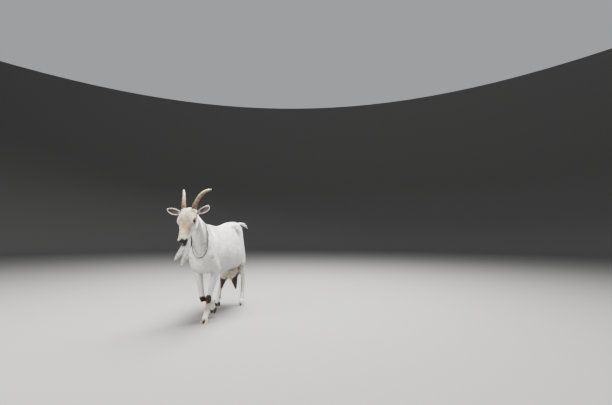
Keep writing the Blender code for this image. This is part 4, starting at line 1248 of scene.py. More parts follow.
skin.data.materials.append(skin_material())
skin.data.update()
cup_values = ear_cup(points_of(skin.data) - np.array(FROM_LAYOUT), normals_of(skin.data))
cup = skin.data.attributes.new("ear_cup", "FLOAT", "POINT")
cup.data.foreach_set("value", cup_values.astype(np.float32))
print("inside of the ears:", int((cup_values > 0.5).sum()), "points")

# %% [markdown]
# ## The coat
#
# Each hair of a goat is finer than any mesh should be, so hair is made in tufts: a flat sliver, widest near
# its middle and drawn out to a point, like a blade of grass lying down. Thousands of them overlap like
# tiles. They are solid, so that the model stays a mesh wherever it is taken.
#
# Three things make it look grown and not scattered: the lie of the coat, which turns smoothly over the
# body; the length, which changes from six millimetres on the nose to four centimetres on the tail; and the
# lift, because the tips of one row rest on the next. So these come first, as functions of the place.

# %% Lie of the coat
def unit(vectors):
    return vectors / np.maximum(np.linalg.norm(vectors, axis=1), 1e-9)[:, None]


def blend_rows(first, second, share):
    return first + (second - first) * share[:, None]


def rows_of(x, y, z):
    return np.stack(np.broadcast_arrays(*map(np.atleast_1d, (x, y, z))), axis=1).astype(float)


def head_share(p):
    """1 on the head in front of the nape, 0 behind it."""
    return ramp((p - np.array(POLL)) @ np.array(FORWARD), -0.045, 0.005) * ramp(p[:, 1], -0.44, -0.47)


def leg_share(p):
    return ramp(p[:, 2], 0.47, 0.33) * (1 - udder_share(p))


def tail_share(p):
    return ramp(p[:, 1], 0.436, 0.456) * ramp(p[:, 2], 0.62, 0.65)


def lie_of(p, normals):
    """The way the hair grows at each point, along the skin."""
    x, y, z = p.T
    out = np.sign(x) * ramp(np.abs(x), 0, 0.05)
    trunk = rows_of(0.12 * out, 1.0, -0.22 - 0.75 * ramp(np.abs(x), 0.03, 0.16))
    neck = rows_of(0.10 * out, 0.55 - 0.25 * ramp(z, 0.75, 0.50), -0.85)
    found = blend_rows(trunk, neck, ramp(y, -0.255, -0.340))
    found = blend_rows(found, rows_of(0.0, 0.16, -1.0), leg_share(p))
    _, _, up = face_frame(p)
    downward = np.array(UP) * (-0.45 * ramp(up, 0.03, -0.03))[:, None]
    face = -np.array(FORWARD) + downward + rows_of(0.35 * out, 0, 0)
    found = blend_rows(found, face, head_share(p))
    ears = on_ears(p)
    for sign, word in SIDES:
        along, _, _ = ear_frame(word)
        found = np.where(((ears > 0.02) & (np.sign(x) == sign))[:, None], np.array(along) + 0 * found, found)
    drop = ramp(y, 0.445, 0.510)
    tail = rows_of(0.34 + 0.14 * drop, 0.84 - 0.40 * drop, -0.12 - 0.80 * drop)
    found = blend_rows(found, tail, tail_share(p))
    swirl = rows_of(np.sin(31 * y + 23 * z), np.sin(37 * z + 19 * x), np.sin(29 * x + 41 * y))
    found = unit(found) + 0.10 * swirl
    return unit(found - normals * np.sum(found * normals, axis=1)[:, None])


# %% [markdown]
# Length, width and density follow the body in the same way. The crest of the neck and back, the brisket,
# the belly and the backs of the thighs carry longer hair that breaks the outline. The inside of the ears,
# the tip of the nose and the udder are nearly bare.

# %% Length and density of the coat
def hair_length(p):
    x, y, z = p.T
    length = np.full(len(p), 0.021)
    length = length + 0.012 * ramp(np.abs(x), 0.030, 0.008) * ramp(z, 0.64, 0.70) * ramp(y, -0.46, -0.40)
    length = length + 0.010 * ramp(z, 0.38, 0.33) * ramp(np.abs(y), 0.30, 0.20)
    length = length + 0.012 * ramp(y, 0.30, 0.38) * ramp(z, 0.36, 0.44) * ramp(z, 0.70, 0.64)
    length = length + 0.009 * ramp(y, -0.30, -0.38) * ramp(z, 0.62, 0.50) * ramp(z, 0.34, 0.40)
    length = length * (1 - 0.50 * leg_share(p)) * (1 - 0.25 * ramp(z, 0.20, 0.10))
    _, share, _ = face_frame(p)
    face = 0.0125 - 0.0065 * ramp(share, 0.35, 0.95)
    length = length + (face - length) * head_share(p)
    length = length + (0.0090 - length) * on_ears(p)
    return length + (0.044 - length) * tail_share(p)


def hair_density(p, cup):
    """Tufts on a square metre."""
    length = hair_length(p)
    width = hair_width(length)
    density = 2.9 / (length * width)
    _, share, _ = face_frame(p)
    nose = ramp(share, 0.93, 0.985) * head_share(p)
    eyes = np.zeros(len(p))
    for s in (1, -1):
        gap = np.linalg.norm(p - np.array(on_head(s * EYE[0], EYE[1], EYE[2])), axis=1)
        eyes = np.maximum(eyes, ramp(gap, 0.0188, 0.0160))
    teats = np.zeros(len(p))
    for s in (1, -1):
        teats = np.maximum(teats, ramp(np.linalg.norm(p - np.array(TEATS[s]), axis=1), 0.075, 0.060))
    bare = np.maximum.reduce([nose, eyes, teats, udder_share(p) * 0.985, cup])
    return density * (1 - bare)


def hair_width(length):
    return 0.0009 + 0.080 * length


# %% [markdown]
# Roots are strewn over the skin's triangles by their area times that density, with a seed, so that each run
# grows the same coat. `BVHTree` finds the skin under the middle and the tip of each sliver and sets them
# just above it, so that no hair dives in or stands off where the body curves.

# %% Roots
rng = np.random.default_rng(20)
skin.data.calc_loop_triangles()


def triangle_data(mesh):
    count = len(mesh.loop_triangles)
    corners = np.empty(count * 3, np.int32)
    loops = np.empty(count * 3, np.int32)
    mesh.loop_triangles.foreach_get("vertices", corners)
    mesh.loop_triangles.foreach_get("loops", loops)
    uv = np.empty(len(mesh.loops) * 2, np.float32)
    mesh.uv_layers["OFBake"].data.foreach_get("uv", uv)
    return corners.reshape(-1, 3), uv.reshape(-1, 2)[loops.reshape(-1, 3)]


skin_points = points_of(skin.data) - np.array(FROM_LAYOUT)
skin_normals = normals_of(skin.data)
triangles, triangle_uv = triangle_data(skin.data)
skin_tree = BVHTree.FromPolygons([Vector(c) for c in skin_points], triangles.tolist())
corner_points = skin_points[triangles]
areas = 0.5 * np.linalg.norm(
    np.cross(corner_points[:, 1] - corner_points[:, 0], corner_points[:, 2] - corner_points[:, 0]), axis=1
)
print("skin area:", round(float(areas.sum()), 2), "square metres")


def strewn():
    """Root points with their normals and places on the unwrap."""
    middles = corner_points.mean(axis=1)
    wanted = areas * hair_density(middles, cup_values[triangles].mean(axis=1))
    count = int(wanted.sum())
    chosen = rng.choice(len(triangles), size=count, p=wanted / wanted.sum())
    shares = rng.dirichlet((1, 1, 1), size=count)
    points = np.einsum("ij,ijk->ik", shares, corner_points[chosen])
    normals = unit(np.einsum("ij,ijk->ik", shares, skin_normals[triangles[chosen]]))
    uv = np.einsum("ij,ijk->ik", shares, triangle_uv[chosen])
    return points, normals, uv


roots, root_normals, root_uv = strewn()
print("tufts:", len(roots))


# %% A coat piece from its slivers
PATCH = 0.003


def sliver_mesh(name, rings, tips, uv):
    """A joined mesh of closed slivers. rings is (count, levels, 3, xyz), tips (count, xyz), uv (count, 2)."""
    count, levels = rings.shape[:2]
    points = np.concatenate([rings.reshape(count, levels * 3, 3), tips[:, None]], axis=1)
    faces = [(0, 2, 1)]
    for level in range(levels - 1):
        for k in range(3):
            a, b = level * 3 + k, level * 3 + (k + 1) % 3
            faces += [(a, b, b + 3), (a, b + 3, a + 3)]
    last = levels * 3
    faces += [(last - 3 + k, last - 3 + (k + 1) % 3, last) for k in range(3)]
    faces = np.array(faces)
    each = levels * 3 + 1
    corners = (faces[None] + (np.arange(count) * each)[:, None, None]).reshape(-1)
    mesh = bpy.data.meshes.new(name)
    mesh.vertices.add(count * each)
    mesh.vertices.foreach_set("co", (points + np.array(FROM_LAYOUT)).astype(np.float32).ravel())
    mesh.loops.add(len(corners))
    mesh.loops.foreach_set("vertex_index", corners.astype(np.int32))
    total = count * len(faces)
    mesh.polygons.add(total)
    mesh.polygons.foreach_set("loop_start", np.arange(0, total * 3, 3, dtype=np.int32))
    mesh.polygons.foreach_set("use_smooth", np.ones(total, dtype=bool))
    mesh.update(calc_edges=True)
    across = np.tile((-0.5, 0.5, 0.0), levels)
    patch = np.stack([across, np.repeat(np.arange(levels) / levels, 3) - 0.5], axis=1)
    patch = np.concatenate([patch, [(0.0, 0.5)]]) * PATCH
    places = (np.clip(uv, PATCH, 1 - PATCH)[:, None] + patch[None]).reshape(-1, 2)
    layer = mesh.uv_layers.new(name="OFBake")
    layer.data.foreach_set("uv", places[corners].astype(np.float32).ravel())
    return mesh


def sections(centres, across, normals, half, thick):
    """Three-sided sections: two feet and a ridge, at each centre."""
    side = across * half[..., None]
    return np.stack([centres - side, centres + side, centres + normals * thick[..., None]], axis=-2)


def on_skin_above(points, height):
    """Points moved to a height above the nearest skin, with the skin's normal there."""
    found = np.empty_like(points)
    normals = np.empty_like(points)
    for i, (point, lift) in enumerate(zip(points, height)):
        spot, normal, _, _ = skin_tree.find_nearest(point)
        normals[i] = normal
        found[i] = spot + normal * lift
    return found, normals


def tuft_rings(points, normals, lift_share=1.0):
    """The sections and tips of the slivers that grow at these roots."""
    count = len(points)
    along = lie_of(points, normals)
    stray = rng.normal(0, 0.16, count)
    across = unit(np.cross(along, normals))
    along = unit(along + across * stray[:, None])
    across = unit(np.cross(along, normals))
    length = hair_length(points) * rng.uniform(0.70, 1.25, count)
    half = 0.5 * hair_width(length) * rng.uniform(0.75, 1.2, count)
    depth = np.maximum(coat_depth(points), 0.0011)
    middle_lift = depth * rng.uniform(0.08, 0.36, count) * lift_share
    tip_lift = depth * rng.uniform(0.12, 0.55, count) * lift_share
    tip_lift += 0.018 * rng.random(count) * tail_share(points)
    curl = rng.normal(0, 0.10, count) * length
    low = points - normals * 0.0006
    middle, middle_normals = on_skin_above(points + along * (length * 0.42)[:, None], middle_lift)
    tip, _ = on_skin_above(points + along * length[:, None] + across * curl[:, None], tip_lift)
    first = sections(low, across, normals, half * 0.62, half * 0.50)
    second = sections(middle, across, middle_normals, half, half * 0.36)
    return np.stack([first, second], axis=1), tip

# %% [markdown]
# ## Horns
#
# A goat's horn is a sheath of hard keratin that grows from its root, a little every season, and each pause
# leaves a ring. Its section is an egg with the sharp end in front. It is lofted along its curve from many
# sections, and the rings are made by letting the radius swell and fall along it, close together near the
# root.

# %% Horns
HORN_PATH = [  # side, y, z, share of the root's radius
    (0.0322, -0.562, 0.794, 0.98), (0.0360, -0.556, 0.817, 1.00), (0.0428, -0.545, 0.857, 0.95),
    (0.0532, -0.524, 0.898, 0.85), (0.0700, -0.493, 0.938, 0.70), (0.0905, -0.457, 0.964, 0.47),
    (0.1105, -0.4245, 0.9755, 0.19),
]


def ring_swell(share, seed):
    """How much the horn swells at this share of its length: its growth rings."""
    age = 15.5 * (1 - (1 - share) ** 1.35)
    phase = age + 0.35 * math.sin(2.1 * age + seed)
    step = phase % 1.0
    return (0.055 - 0.040 * share) * (math.sin(math.pi * step**0.6) - 0.55) * (1 - share**6)


def horn_mesh(side, seed):
    rows = spline(HORN_PATH, 22)
    lean = [POLL.x - 0.006 * i / (len(rows) - 1) for i in range(len(rows))]
    centres = [Vector((side * row[0] + shift, row[1], row[2])) for row, shift in zip(rows, lean)]
    rings, ages = [], []
    for i, row in enumerate(rows):
        share = i / (len(rows) - 1)
        along = (centres[min(i + 1, len(rows) - 1)] - centres[max(i - 1, 0)]).normalized()
        across = (Vector((1, 0, 0)) - along * along.x).normalized()
        back = along.cross(across)
        radius = HORN_RADIUS * row[3] * (1 + ring_swell(share, seed))
        ring = []
        for k in range(28):
            turn = 2 * math.pi * k / 28
            keel = 1 + 0.16 * max(0.0, -math.sin(turn)) ** 6
            waver = 1 + 0.012 * math.sin(3 * turn + 9 * share + seed)
            reach = radius * keel * waver
            sideways = across * 0.82 * reach * math.cos(turn)
            ring.append(centres[i] + sideways + back * 1.02 * reach * math.sin(turn))
        rings.append(ring)
        ages += [(share, ring_swell(share, seed))] * 28
    bm = bmesh.new()
    add_loft(bm, rings)
    tip = centres[-1] + (centres[-1] - centres[-4]).normalized() * 0.0018
    bmesh.ops.poke(bm, faces=[f for f in bm.faces if len(f.verts) > 20])
    bm.verts.ensure_lookup_table()
    end = min(bm.verts[-2:], key=lambda v: (v.co - centres[-1]).length)
    end.co = tip
    bmesh.ops.recalc_face_normals(bm, faces=bm.faces[:])
    mesh = to_mesh(bm, "horn")
    place_values(mesh, "growth", [age for age, _ in ages] + [0.0, 1.0])
    place_values(mesh, "ring", [0.5 + 9.0 * swell for _, swell in ages] + [0.5, 0.5])
    return mesh


def place_values(mesh, name, values):
    layer = mesh.attributes.new(name, "FLOAT", "POINT")
    layer.data.foreach_set("value", np.array(values, np.float32))


def attribute_of(tree, name, kind="Fac"):
    node = tree.nodes.new("ShaderNodeAttribute")
    node.attribute_name = name
    return node.outputs[kind]


# %% [markdown]
# Horn is brown and rough near the root, where hair and dirt have worn it, and turns to a paler, greenish
# and more polished point. Fine fibres run along it. The valleys between the rings are darker, because dirt
# stays in them.

# %% Horn material
def horn_material():
    made, tree, shader = principled("horn", 0.5)
    here = object_position(tree)
    growth, ring = attribute_of(tree, "growth"), attribute_of(tree, "ring")
    patch = noise(tree, here, 55.0, 4.0)
    fibre = noise(tree, vector_maths(tree, "MULTIPLY", here, (1.0, 0.35, 0.18)), 900.0, 2.0)
    root = mix(tree, fade(tree, patch, 0.35, 0.68), (0.085, 0.045, 0.025), (0.205, 0.120, 0.070))
    middle = mix(tree, fade(tree, patch, 0.35, 0.68), (0.150, 0.090, 0.054), (0.285, 0.195, 0.125))
    tip = mix(tree, fade(tree, patch, 0.30, 0.70), (0.30, 0.25, 0.135), (0.46, 0.41, 0.26))
    colour = mix(tree, fade(tree, growth, 0.18, 0.50), root, middle)
    colour = mix(tree, fade(tree, growth, 0.55, 0.90), colour, tip)
    colour = mix(tree, fade(tree, ring, 0.45, 0.15), colour, (0.055, 0.036, 0.024))
    streaks = maths(tree, "MULTIPLY", fade(tree, fibre, 0.52, 0.72), 0.35)
    colour = mix(tree, streaks, colour, (0.06, 0.04, 0.028))
    tree.links.new(colour, shader.inputs["Base Color"])
    rough = maths(tree, "MULTIPLY_ADD", growth, -0.26, 0.62)
    tree.links.new(maths(tree, "MULTIPLY_ADD", patch, 0.12, rough), shader.inputs["Roughness"])
    bumped(tree, shader, maths(tree, "MULTIPLY_ADD", patch, 0.5, fibre), 0.5, 0.0008)
    return made


HORN = horn_material()
horns = []
for side, word in SIDES:
    mesh = horn_mesh(side, 1.3 * side)
    mesh.transform(Matrix.Translation(FROM_LAYOUT))
    mesh.shade_smooth()
    mesh.materials.append(HORN)
    horns.append(link("horn_" + word + "_ridged", mesh))
print("horns:", [len(piece.data.polygons) for piece in horns], "faces")

# %% [markdown]
# ## Hooves
#
# Each foot has two claws, flat inside and round outside, and two dewclaws behind. A claw is worn flat
# below, its toe is longer than its heel, and its wall carries fine rings that run round it. It is lofted
# from the outline of its sole upwards, and each level leans back and shrinks a little.

# %% Claws
def claw_outline(half_width, half_length, count):
    outline = []
    for i in range(count):
        angle = 2 * math.pi * (i + 0.5) / count
        x = half_width * power(math.cos(angle), 0.85)
        y = half_length * power(math.sin(angle), 0.95)
        taper = 1 - 0.50 * max(0.0, -y / half_length) ** 1.5
        outline.append((max(x * taper, -0.70 * half_width), y))
    return outline


def toe_spread(foot):
    """How far a claw is set out from the middle of its foot, and how far its toe turns out."""
    if foot.translation.z > 0.02:
        return 0.0120, math.radians(1.5)
    if foot.translation.y < -0.30:
        return 0.0150, math.radians(10)
    return 0.0136, math.radians(6)


def add_claw(bm, side, foot, count=32, levels=22):
    out, turn = toe_spread(foot)
    splay = Matrix.Translation((side * out, 0.002, 0)) @ Matrix.Rotation(side * turn, 4, "Z")
    rings = []
    for level in range(levels + 1):
        share = level / levels
        shrink = 0.97 + 0.03 * min(1, share / 0.10) - 0.12 * max(0.0, share - 0.10) / 0.90
        shrink += 0.011 * math.sin(share * 34) * (share > 0.05) * (share < 0.96)
        ring = []
        for x, y in claw_outline(0.0134, 0.0298, count):
            height = 0.0290 - 0.30 * y
            lean = 0.58 * height * share * (0.62 - 0.38 * y / 0.0300)
            spot = Vector((side * x * shrink, y * (0.2 + 0.8 * shrink) + lean, height * share))
            ring.append(foot @ splay @ spot)
        rings.append(ring)
    add_loft(bm, rings)


def add_dewclaw(bm, side, foot):
    turn = Vector((side * 0.25, 0.55, -1)).normalized().to_track_quat("-Z", "Y").to_matrix().to_4x4()
    place = foot @ Matrix.Translation((side * 0.0110, 0.0495, 0.0665)) @ turn
    stack = (0.0085, 0.0068), (0.004, 0.0072), (-0.001, 0.0066), (-0.0055, 0.0056), (-0.0078, 0.0042)
    turns = [2 * math.pi * k / 18 for k in range(18)]
    rings = []
    for height, radius in stack:
        ring = [Vector((radius * math.cos(a), radius * 0.9 * math.sin(a), height)) for a in turns]
        rings.append([place @ spot for spot in ring])
    add_loft(bm, rings)


def hoof_mesh(foot):
    bm = bmesh.new()
    for side, _ in SIDES:
        add_claw(bm, side, foot)
        add_dewclaw(bm, side, foot)
    caps = [face for face in bm.faces if len(face.verts) > 10]
    bmesh.ops.inset_individual(bm, faces=caps, thickness=0.0012, depth=0.0)
    bmesh.ops.recalc_face_normals(bm, faces=bm.faces[:])
    mesh = to_mesh(bm, "hoof")
    back = foot.inverted()
    from_sole = points_of(mesh) @ np.array(back.to_3x3()).T + np.array(back.translation)
    place_values(mesh, "above_sole", from_sole[:, 2])
    mesh.transform(Matrix.Translation(FROM_LAYOUT))
    mesh.shade_smooth()
    mesh.set_sharp_from_angle(angle=math.radians(42))
    return mesh


# %% [markdown]
# Hoof horn is matt and layered, with dirt in its rings and pale worn edges below. The hooves of her left
# legs are pale, and those of her right legs are painted nearly black; on the lifted right forefoot that
# black is painted shade.

# %% Hoof material
def hoof_material(name, dark, light):
    made, tree, shader = principled(name, 0.66)
    here = object_position(tree)
    height = attribute_of(tree, "above_sole")
    rings = noise(tree, vector_maths(tree, "MULTIPLY", here, (0.15, 0.15, 1.0)), 620.0, 2.0)
    patch = noise(tree, here, 70.0, 4.0)
    colour = mix(tree, fade(tree, patch, 0.36, 0.66), dark, light)
    ridges = maths(tree, "MULTIPLY", fade(tree, rings, 0.48, 0.62), 0.40)
    colour = mix(tree, ridges, colour, (0.055, 0.042, 0.030))
    near_sole = fade(tree, height, 0.0075, 0.0)
    worn = maths(tree, "MULTIPLY", near_sole, maths(tree, "MULTIPLY_ADD", patch, 0.6, 0.25))
    colour = mix(tree, worn, colour, (0.38, 0.325, 0.255))
    tree.links.new(colour, shader.inputs["Base Color"])
    tree.links.new(maths(tree, "MULTIPLY_ADD", patch, 0.25, 0.50), shader.inputs["Roughness"])
    bumped(tree, shader, rings, 0.45, 0.0007)
    return made


PALE_HOOF = hoof_material("hoof_pale", (0.34, 0.285, 0.22), (0.60, 0.54, 0.45))
# Nearly black hoof horn for her right feet; on the lifted right forefoot this black is painted shade.
DARK_AND_SHADED_HOOF = hoof_material("hoof_dark_and_shaded", (0.040, 0.033, 0.028), (0.115, 0.095, 0.075))
hooves = {}
for name, leg in LEGS.items():
    mesh = hoof_mesh(leg[2])
    mesh.materials.append(DARK_AND_SHADED_HOOF if name in ("hind_right", "fore_right") else PALE_HOOF)
    hooves[name] = link("hooves_" + name, mesh)
print("hooves:", {name: len(piece.data.polygons) for name, piece in hooves.items()})

# %% [markdown]
# ## Eyes
#
# A goat's pupil is a bar that lies level, so that she sees the ground all round while she grazes. The iris
# is gold with fine spokes, and dark at its rim. The ball is a sphere whose cornea bulges a little; a map of
# places on the ball, counted from the cornea's middle, tells the material where pupil and iris are.

# %% Eyeballs
def eye_mesh(side):
    bm = bmesh.new()
    bmesh.ops.create_uvsphere(bm, u_segments=48, v_segments=32, radius=1)
    out = Vector((side, 0, 0))
    gaze = (out * 0.97 + FORWARD * 0.16 + UP * 0.16).normalized()
    level = (Vector((0, -1, 0)) - gaze * -gaze.y).normalized()
    rise = gaze.cross(level) if gaze.cross(level).z > 0 else level.cross(gaze)
    centre = on_head(side * EYE[0], EYE[1], EYE[2])
    places = []
    for vert in bm.verts:
        way = vert.co.normalized()
        bulge = 0.0008 * max(0.0, (way.z - 0.80) / 0.20) ** 0.7
        places.append((way.x, way.y, way.z))
        vert.co = centre + (level * way.x + rise * way.y + gaze * way.z) * (EYE_RADIUS - 0.0007 + bulge)
    bmesh.ops.recalc_face_normals(bm, faces=bm.faces[:])
    mesh = to_mesh(bm, "eye")
    layer = mesh.attributes.new("ball_place", "FLOAT_VECTOR", "POINT")
    layer.data.foreach_set("vector", np.array(places, np.float32).ravel())
    mesh.transform(Matrix.Translation(FROM_LAYOUT))
    mesh.shade_smooth()
    return mesh


def eye_material():
    made, tree, shader = principled("eye", 0.16)
    place = attribute_of(tree, "ball_place", "Vector")
    parts = tree.nodes.new("ShaderNodeSeparateXYZ")
    put(tree, parts.inputs[0], place)
    across, rise = parts.outputs[0], parts.outputs[1]
    flat = vector_maths(tree, "MULTIPLY", place, (1, 1, 0))
    radius = vector_maths(tree, "LENGTH", flat)
    spokes = noise(tree, vector_maths(tree, "NORMALIZE", flat), 9.0, 5.0)
    gold = mix(tree, fade(tree, spokes, 0.36, 0.64), (0.20, 0.105, 0.030), (0.52, 0.33, 0.105))
    gold = mix(tree, fade(tree, radius, 0.56, 0.74), gold, (0.050, 0.026, 0.012))
    iris = mix(tree, fade(tree, radius, 0.74, 0.80), gold, (0.30, 0.215, 0.175))
    bar_across = maths(tree, "POWER", maths(tree, "ABSOLUTE", maths(tree, "MULTIPLY", across, 2.15)), 4.0)
    bar_rise = maths(tree, "POWER", maths(tree, "ABSOLUTE", maths(tree, "MULTIPLY", rise, 6.2)), 4.0)
    pupil = fade(tree, maths(tree, "ADD", bar_across, bar_rise), 1.25, 0.80)
    tree.links.new(mix(tree, pupil, iris, (0.006, 0.006, 0.010)), shader.inputs["Base Color"])
    shader.inputs["Coat Weight"].default_value = 1.0
    shader.inputs["Coat Roughness"].default_value = 0.03
    return made


EYE_GLOSS = eye_material()
eyes = {}
for side, word in SIDES:
    mesh = eye_mesh(side)
    mesh.materials.append(EYE_GLOSS)
    eyes[word] = link("eyeball_" + word, mesh)
print("eyes:", [len(piece.data.polygons) for piece in eyes.values()], "faces")

# %% [markdown]
# ## Collar
#
# The collar is an old strap of dark leather, worn loose: it rests on the crest of the neck and hangs free
# in front of the chest. For every direction round the neck, a ray finds how far the skin reaches there; the
# strap lies outside that by the depth of the coat, and its section with two stitched edges follows it
# round.

# %% Strap
STRAP_WIDTH, STRAP_THICK, STRAP_STEPS = 0.0160, 0.0030, 128
STRAP_TOP, STRAP_LOW = Vector((0, -0.360, 0.750)), Vector((0.034, -0.432, 0.474))
STRAP_TURN = math.radians(14)
STRAP_MIDDLE = STRAP_TOP.lerp(STRAP_LOW, 0.5)
STRAP_UP = (STRAP_TOP - STRAP_LOW).normalized()
STRAP_ACROSS = Vector((math.cos(STRAP_TURN), math.sin(STRAP_TURN), 0))
STRAP_ACROSS = (STRAP_ACROSS - STRAP_UP * STRAP_ACROSS.dot(STRAP_UP)).normalized()
STRAP_ALONG = STRAP_ACROSS.cross(STRAP_UP)


def strap_direction(angle):
    return STRAP_ACROSS * math.cos(angle) + STRAP_UP * math.sin(angle)


def strap_reach(angle):
    """How far the inside of the strap is from its middle, in this direction."""
    found = 0.0
    way = strap_direction(angle)
    for share in (-0.5, 0.0, 0.5):
        start = STRAP_MIDDLE + STRAP_ALONG * STRAP_WIDTH * share
        hit, _, _, distance = skin_tree.ray_cast(start + way * 0.5, -way)
        if hit is not None:
            found = max(found, 0.5 - distance)
    return found + 0.0056 + 0.040 * max(0.0, -math.sin(angle)) ** 6


angles = [2 * math.pi * i / STRAP_STEPS for i in range(STRAP_STEPS)]
reaches = np.array([strap_reach(angle) for angle in angles])
for _ in range(4):
    reaches = np.maximum(reaches, 0) * 0.5 + 0.25 * (np.roll(reaches, 1) + np.roll(reaches, -1))
print("collar, inside:", round(float(reaches.min()) * 2000), "to", round(float(reaches.max()) * 2000), "mm")


def strap_place(angle, across, out):
    """A place on the strap: across its width from -0.5 to 0.5, and out from its inner face in metres."""
    turn = (angle / (2 * math.pi)) % 1 * STRAP_STEPS
    low, share = int(turn) % STRAP_STEPS, turn - int(turn)
    reach = reaches[low] * (1 - share) + reaches[(low + 1) % STRAP_STEPS] * share
    return STRAP_MIDDLE + strap_direction(angle) * (reach + out) + STRAP_ALONG * STRAP_WIDTH * across


def add_band(bm, turns, section, closed):
    """Sweeps a section, of (across, out) pairs, along the strap."""
    rings = [[strap_place(angle, across, out) for across, out in section] for angle in turns]
    if not closed:
        add_loft(bm, rings)
        return
    loops = []
    for ring in rings:
        verts = [bm.verts.new(p) for p in ring]
        loops.append([bm.edges.new((verts[i - 1], verts[i])) for i in range(len(verts))])
    for first, second in zip(loops, loops[1:] + loops[:1]):
        bmesh.ops.bridge_loops(bm, edges=first + second)


T = STRAP_THICK
STRAP_SECTION = [
    (-0.46, 0.0), (0.0, 0.0), (0.46, 0.0), (0.50, 0.3 * T), (0.50, 0.7 * T), (0.465, T),
    (0.42, 0.88 * T), (0.39, 0.88 * T), (0.35, T), (0.0, 1.04 * T), (-0.35, T), (-0.39, 0.88 * T),
    (-0.42, 0.88 * T), (-0.465, T), (-0.50, 0.7 * T), (-0.50, 0.3 * T),
]


def finished_piece(bm, name, material, sharp=35):
    bmesh.ops.recalc_face_normals(bm, faces=bm.faces[:])
    mesh = to_mesh(bm, name)
    mesh.transform(Matrix.Translation(FROM_LAYOUT))
    mesh.shade_smooth()
    mesh.set_sharp_from_angle(angle=math.radians(sharp))
    mesh.materials.append(material)
    return link(name, mesh)


# %% Leather, thread and metal
def leather_material():
    made, tree, shader = principled("collar_leather", 0.6)
    here = object_position(tree)
    grain = tree.nodes.new("ShaderNodeTexVoronoi")
    put(tree, grain.inputs["Vector"], here)
    grain.inputs["Scale"].default_value = 900
    worn = noise(tree, here, 90.0, 4.0)
    colour = mix(tree, fade(tree, worn, 0.40, 0.68), (0.020, 0.018, 0.016), (0.085, 0.072, 0.060))
    tree.links.new(colour, shader.inputs["Base Color"])
    tree.links.new(maths(tree, "MULTIPLY_ADD", worn, 0.35, 0.38), shader.inputs["Roughness"])
    bumped(tree, shader, grain.outputs["Distance"], 0.35, 0.0006)
    return made


def thread_material():
    made, tree, shader = principled("collar_thread", 0.75)
    twist = noise(tree, object_position(tree), 1500.0, 2.0)
    colour = mix(tree, twist, (0.14, 0.12, 0.095), (0.30, 0.265, 0.215))
    tree.links.new(colour, shader.inputs["Base Color"])
    return made


def metal_material():
    made, tree, shader = principled("collar_metal", 0.4)
    wear = noise(tree, object_position(tree), 300.0, 3.0)
    colour = mix(tree, fade(tree, wear, 0.4, 0.7), (0.34, 0.32, 0.29), (0.12, 0.095, 0.075))
    tree.links.new(colour, shader.inputs["Base Color"])
    tree.links.new(maths(tree, "MULTIPLY_ADD", wear, 0.4, 0.22), shader.inputs["Roughness"])
    shader.inputs["Metallic"].default_value = 0.9
    return made


LEATHER, THREAD, METAL = leather_material(), thread_material(), metal_material()
bm = bmesh.new()
add_band(bm, angles, STRAP_SECTION, closed=True)
strap = finished_piece(bm, "collar_strap", LEATHER)

# %% [markdown]
# The buckle sits low on her right side: a frame of bent wire, its tongue, a keeper loop, and the strap's
# own free end lying on top of itself. Two rows of stitches run along the strap, each a short thread that
# dips at both ends.

# %% Stitches
def add_stitch(bm, angle, across):
    rows = []
    for k, lift in enumerate((-0.0004, 0.00045, 0.0006, 0.00045, -0.0004)):
        rows.append((strap_place(angle + (k - 2) * 0.0042, across, 0.88 * T + lift), 0.00042, 0.00042))
    add_tube(bm, rows, steps=1, points=6)


bm = bmesh.new()
for i in range(150):
    for across in (-0.405, 0.405):
        add_stitch(bm, 2 * math.pi * (i + 0.5) / 150, across)
stitches = finished_piece(bm, "collar_stitches", THREAD, 80)

# %% Buckle
BUCKLE = math.radians(218)


def wire_ring(bm, points, radius):
    """A closed loop of wire through these points."""
    count = len(points)
    rings = []
    for i, point in enumerate(points):
        along = (points[(i + 1) % count] - points[i - 1]).normalized()
        out = (point - STRAP_MIDDLE).normalized()
        side = along.cross(out).normalized()
        out = side.cross(along)
        rings.append([point + (side * math.cos(a) + out * math.sin(a)) * radius
                      for a in (2 * math.pi * k / 10 for k in range(10))])
    loops = []
    for ring in rings:
        verts = [bm.verts.new(p) for p in ring]
        loops.append([bm.edges.new((verts[i - 1], verts[i])) for i in range(len(verts))])
    for first, second in zip(loops, loops[1:] + loops[:1]):
        bmesh.ops.bridge_loops(bm, edges=first + second)


def rounded_frame(half_angle, half_across, out, count=40):
    """Points of a rounded rectangle on the strap, round the buckle's place."""
    points = []
    for k in range(count):
        a = 2 * math.pi * k / count
        points.append(strap_place(BUCKLE + half_angle * power(math.cos(a), 0.45),
                                  half_across * power(math.sin(a), 0.45), out))
    return points


bm = bmesh.new()
wire_ring(bm, rounded_frame(0.085, 0.70, T + 0.0012), 0.0013)
pin = (-0.080, 0.0016), (-0.03, 0.0040), (0.03, 0.0042), (0.088, 0.0032)
pin_stations = [(strap_place(BUCKLE + t, 0.0, T + out), 0.0010, 0.0010) for t, out in pin]
add_tube(bm, pin_stations, steps=4, points=8)
buckle = finished_piece(bm, "collar_buckle", METAL, 60)

bm = bmesh.new()
end_section = [(across * 0.93, T * 1.02 + out * 0.9) for across, out in STRAP_SECTION]
end_turns = [BUCKLE - 0.05 - 0.40 * k / 20 for k in range(21)]
add_band(bm, end_turns, end_section, closed=False)
keeper_section = [
    (-0.56, 0.0), (0.56, 0.0), (0.58, T), (0.56, 2.3 * T), (0.0, 2.5 * T), (-0.56, 2.3 * T), (-0.58, T)
]
add_band(bm, [BUCKLE - 0.20 - 0.05 * k / 4 for k in range(5)], keeper_section, closed=False)
strap_end = finished_piece(bm, "collar_end", LEATHER)
print("collar pieces:", [len(piece.data.polygons) for piece in (strap, stitches, buckle, strap_end)])

# %% [markdown]
# ## Growing the coat
#
# The tufts are now built and sorted into pieces by the part of the body they grow on, so that no piece is
# too large to take elsewhere. Each piece spreads the unwrap of its own part over the whole of its map.

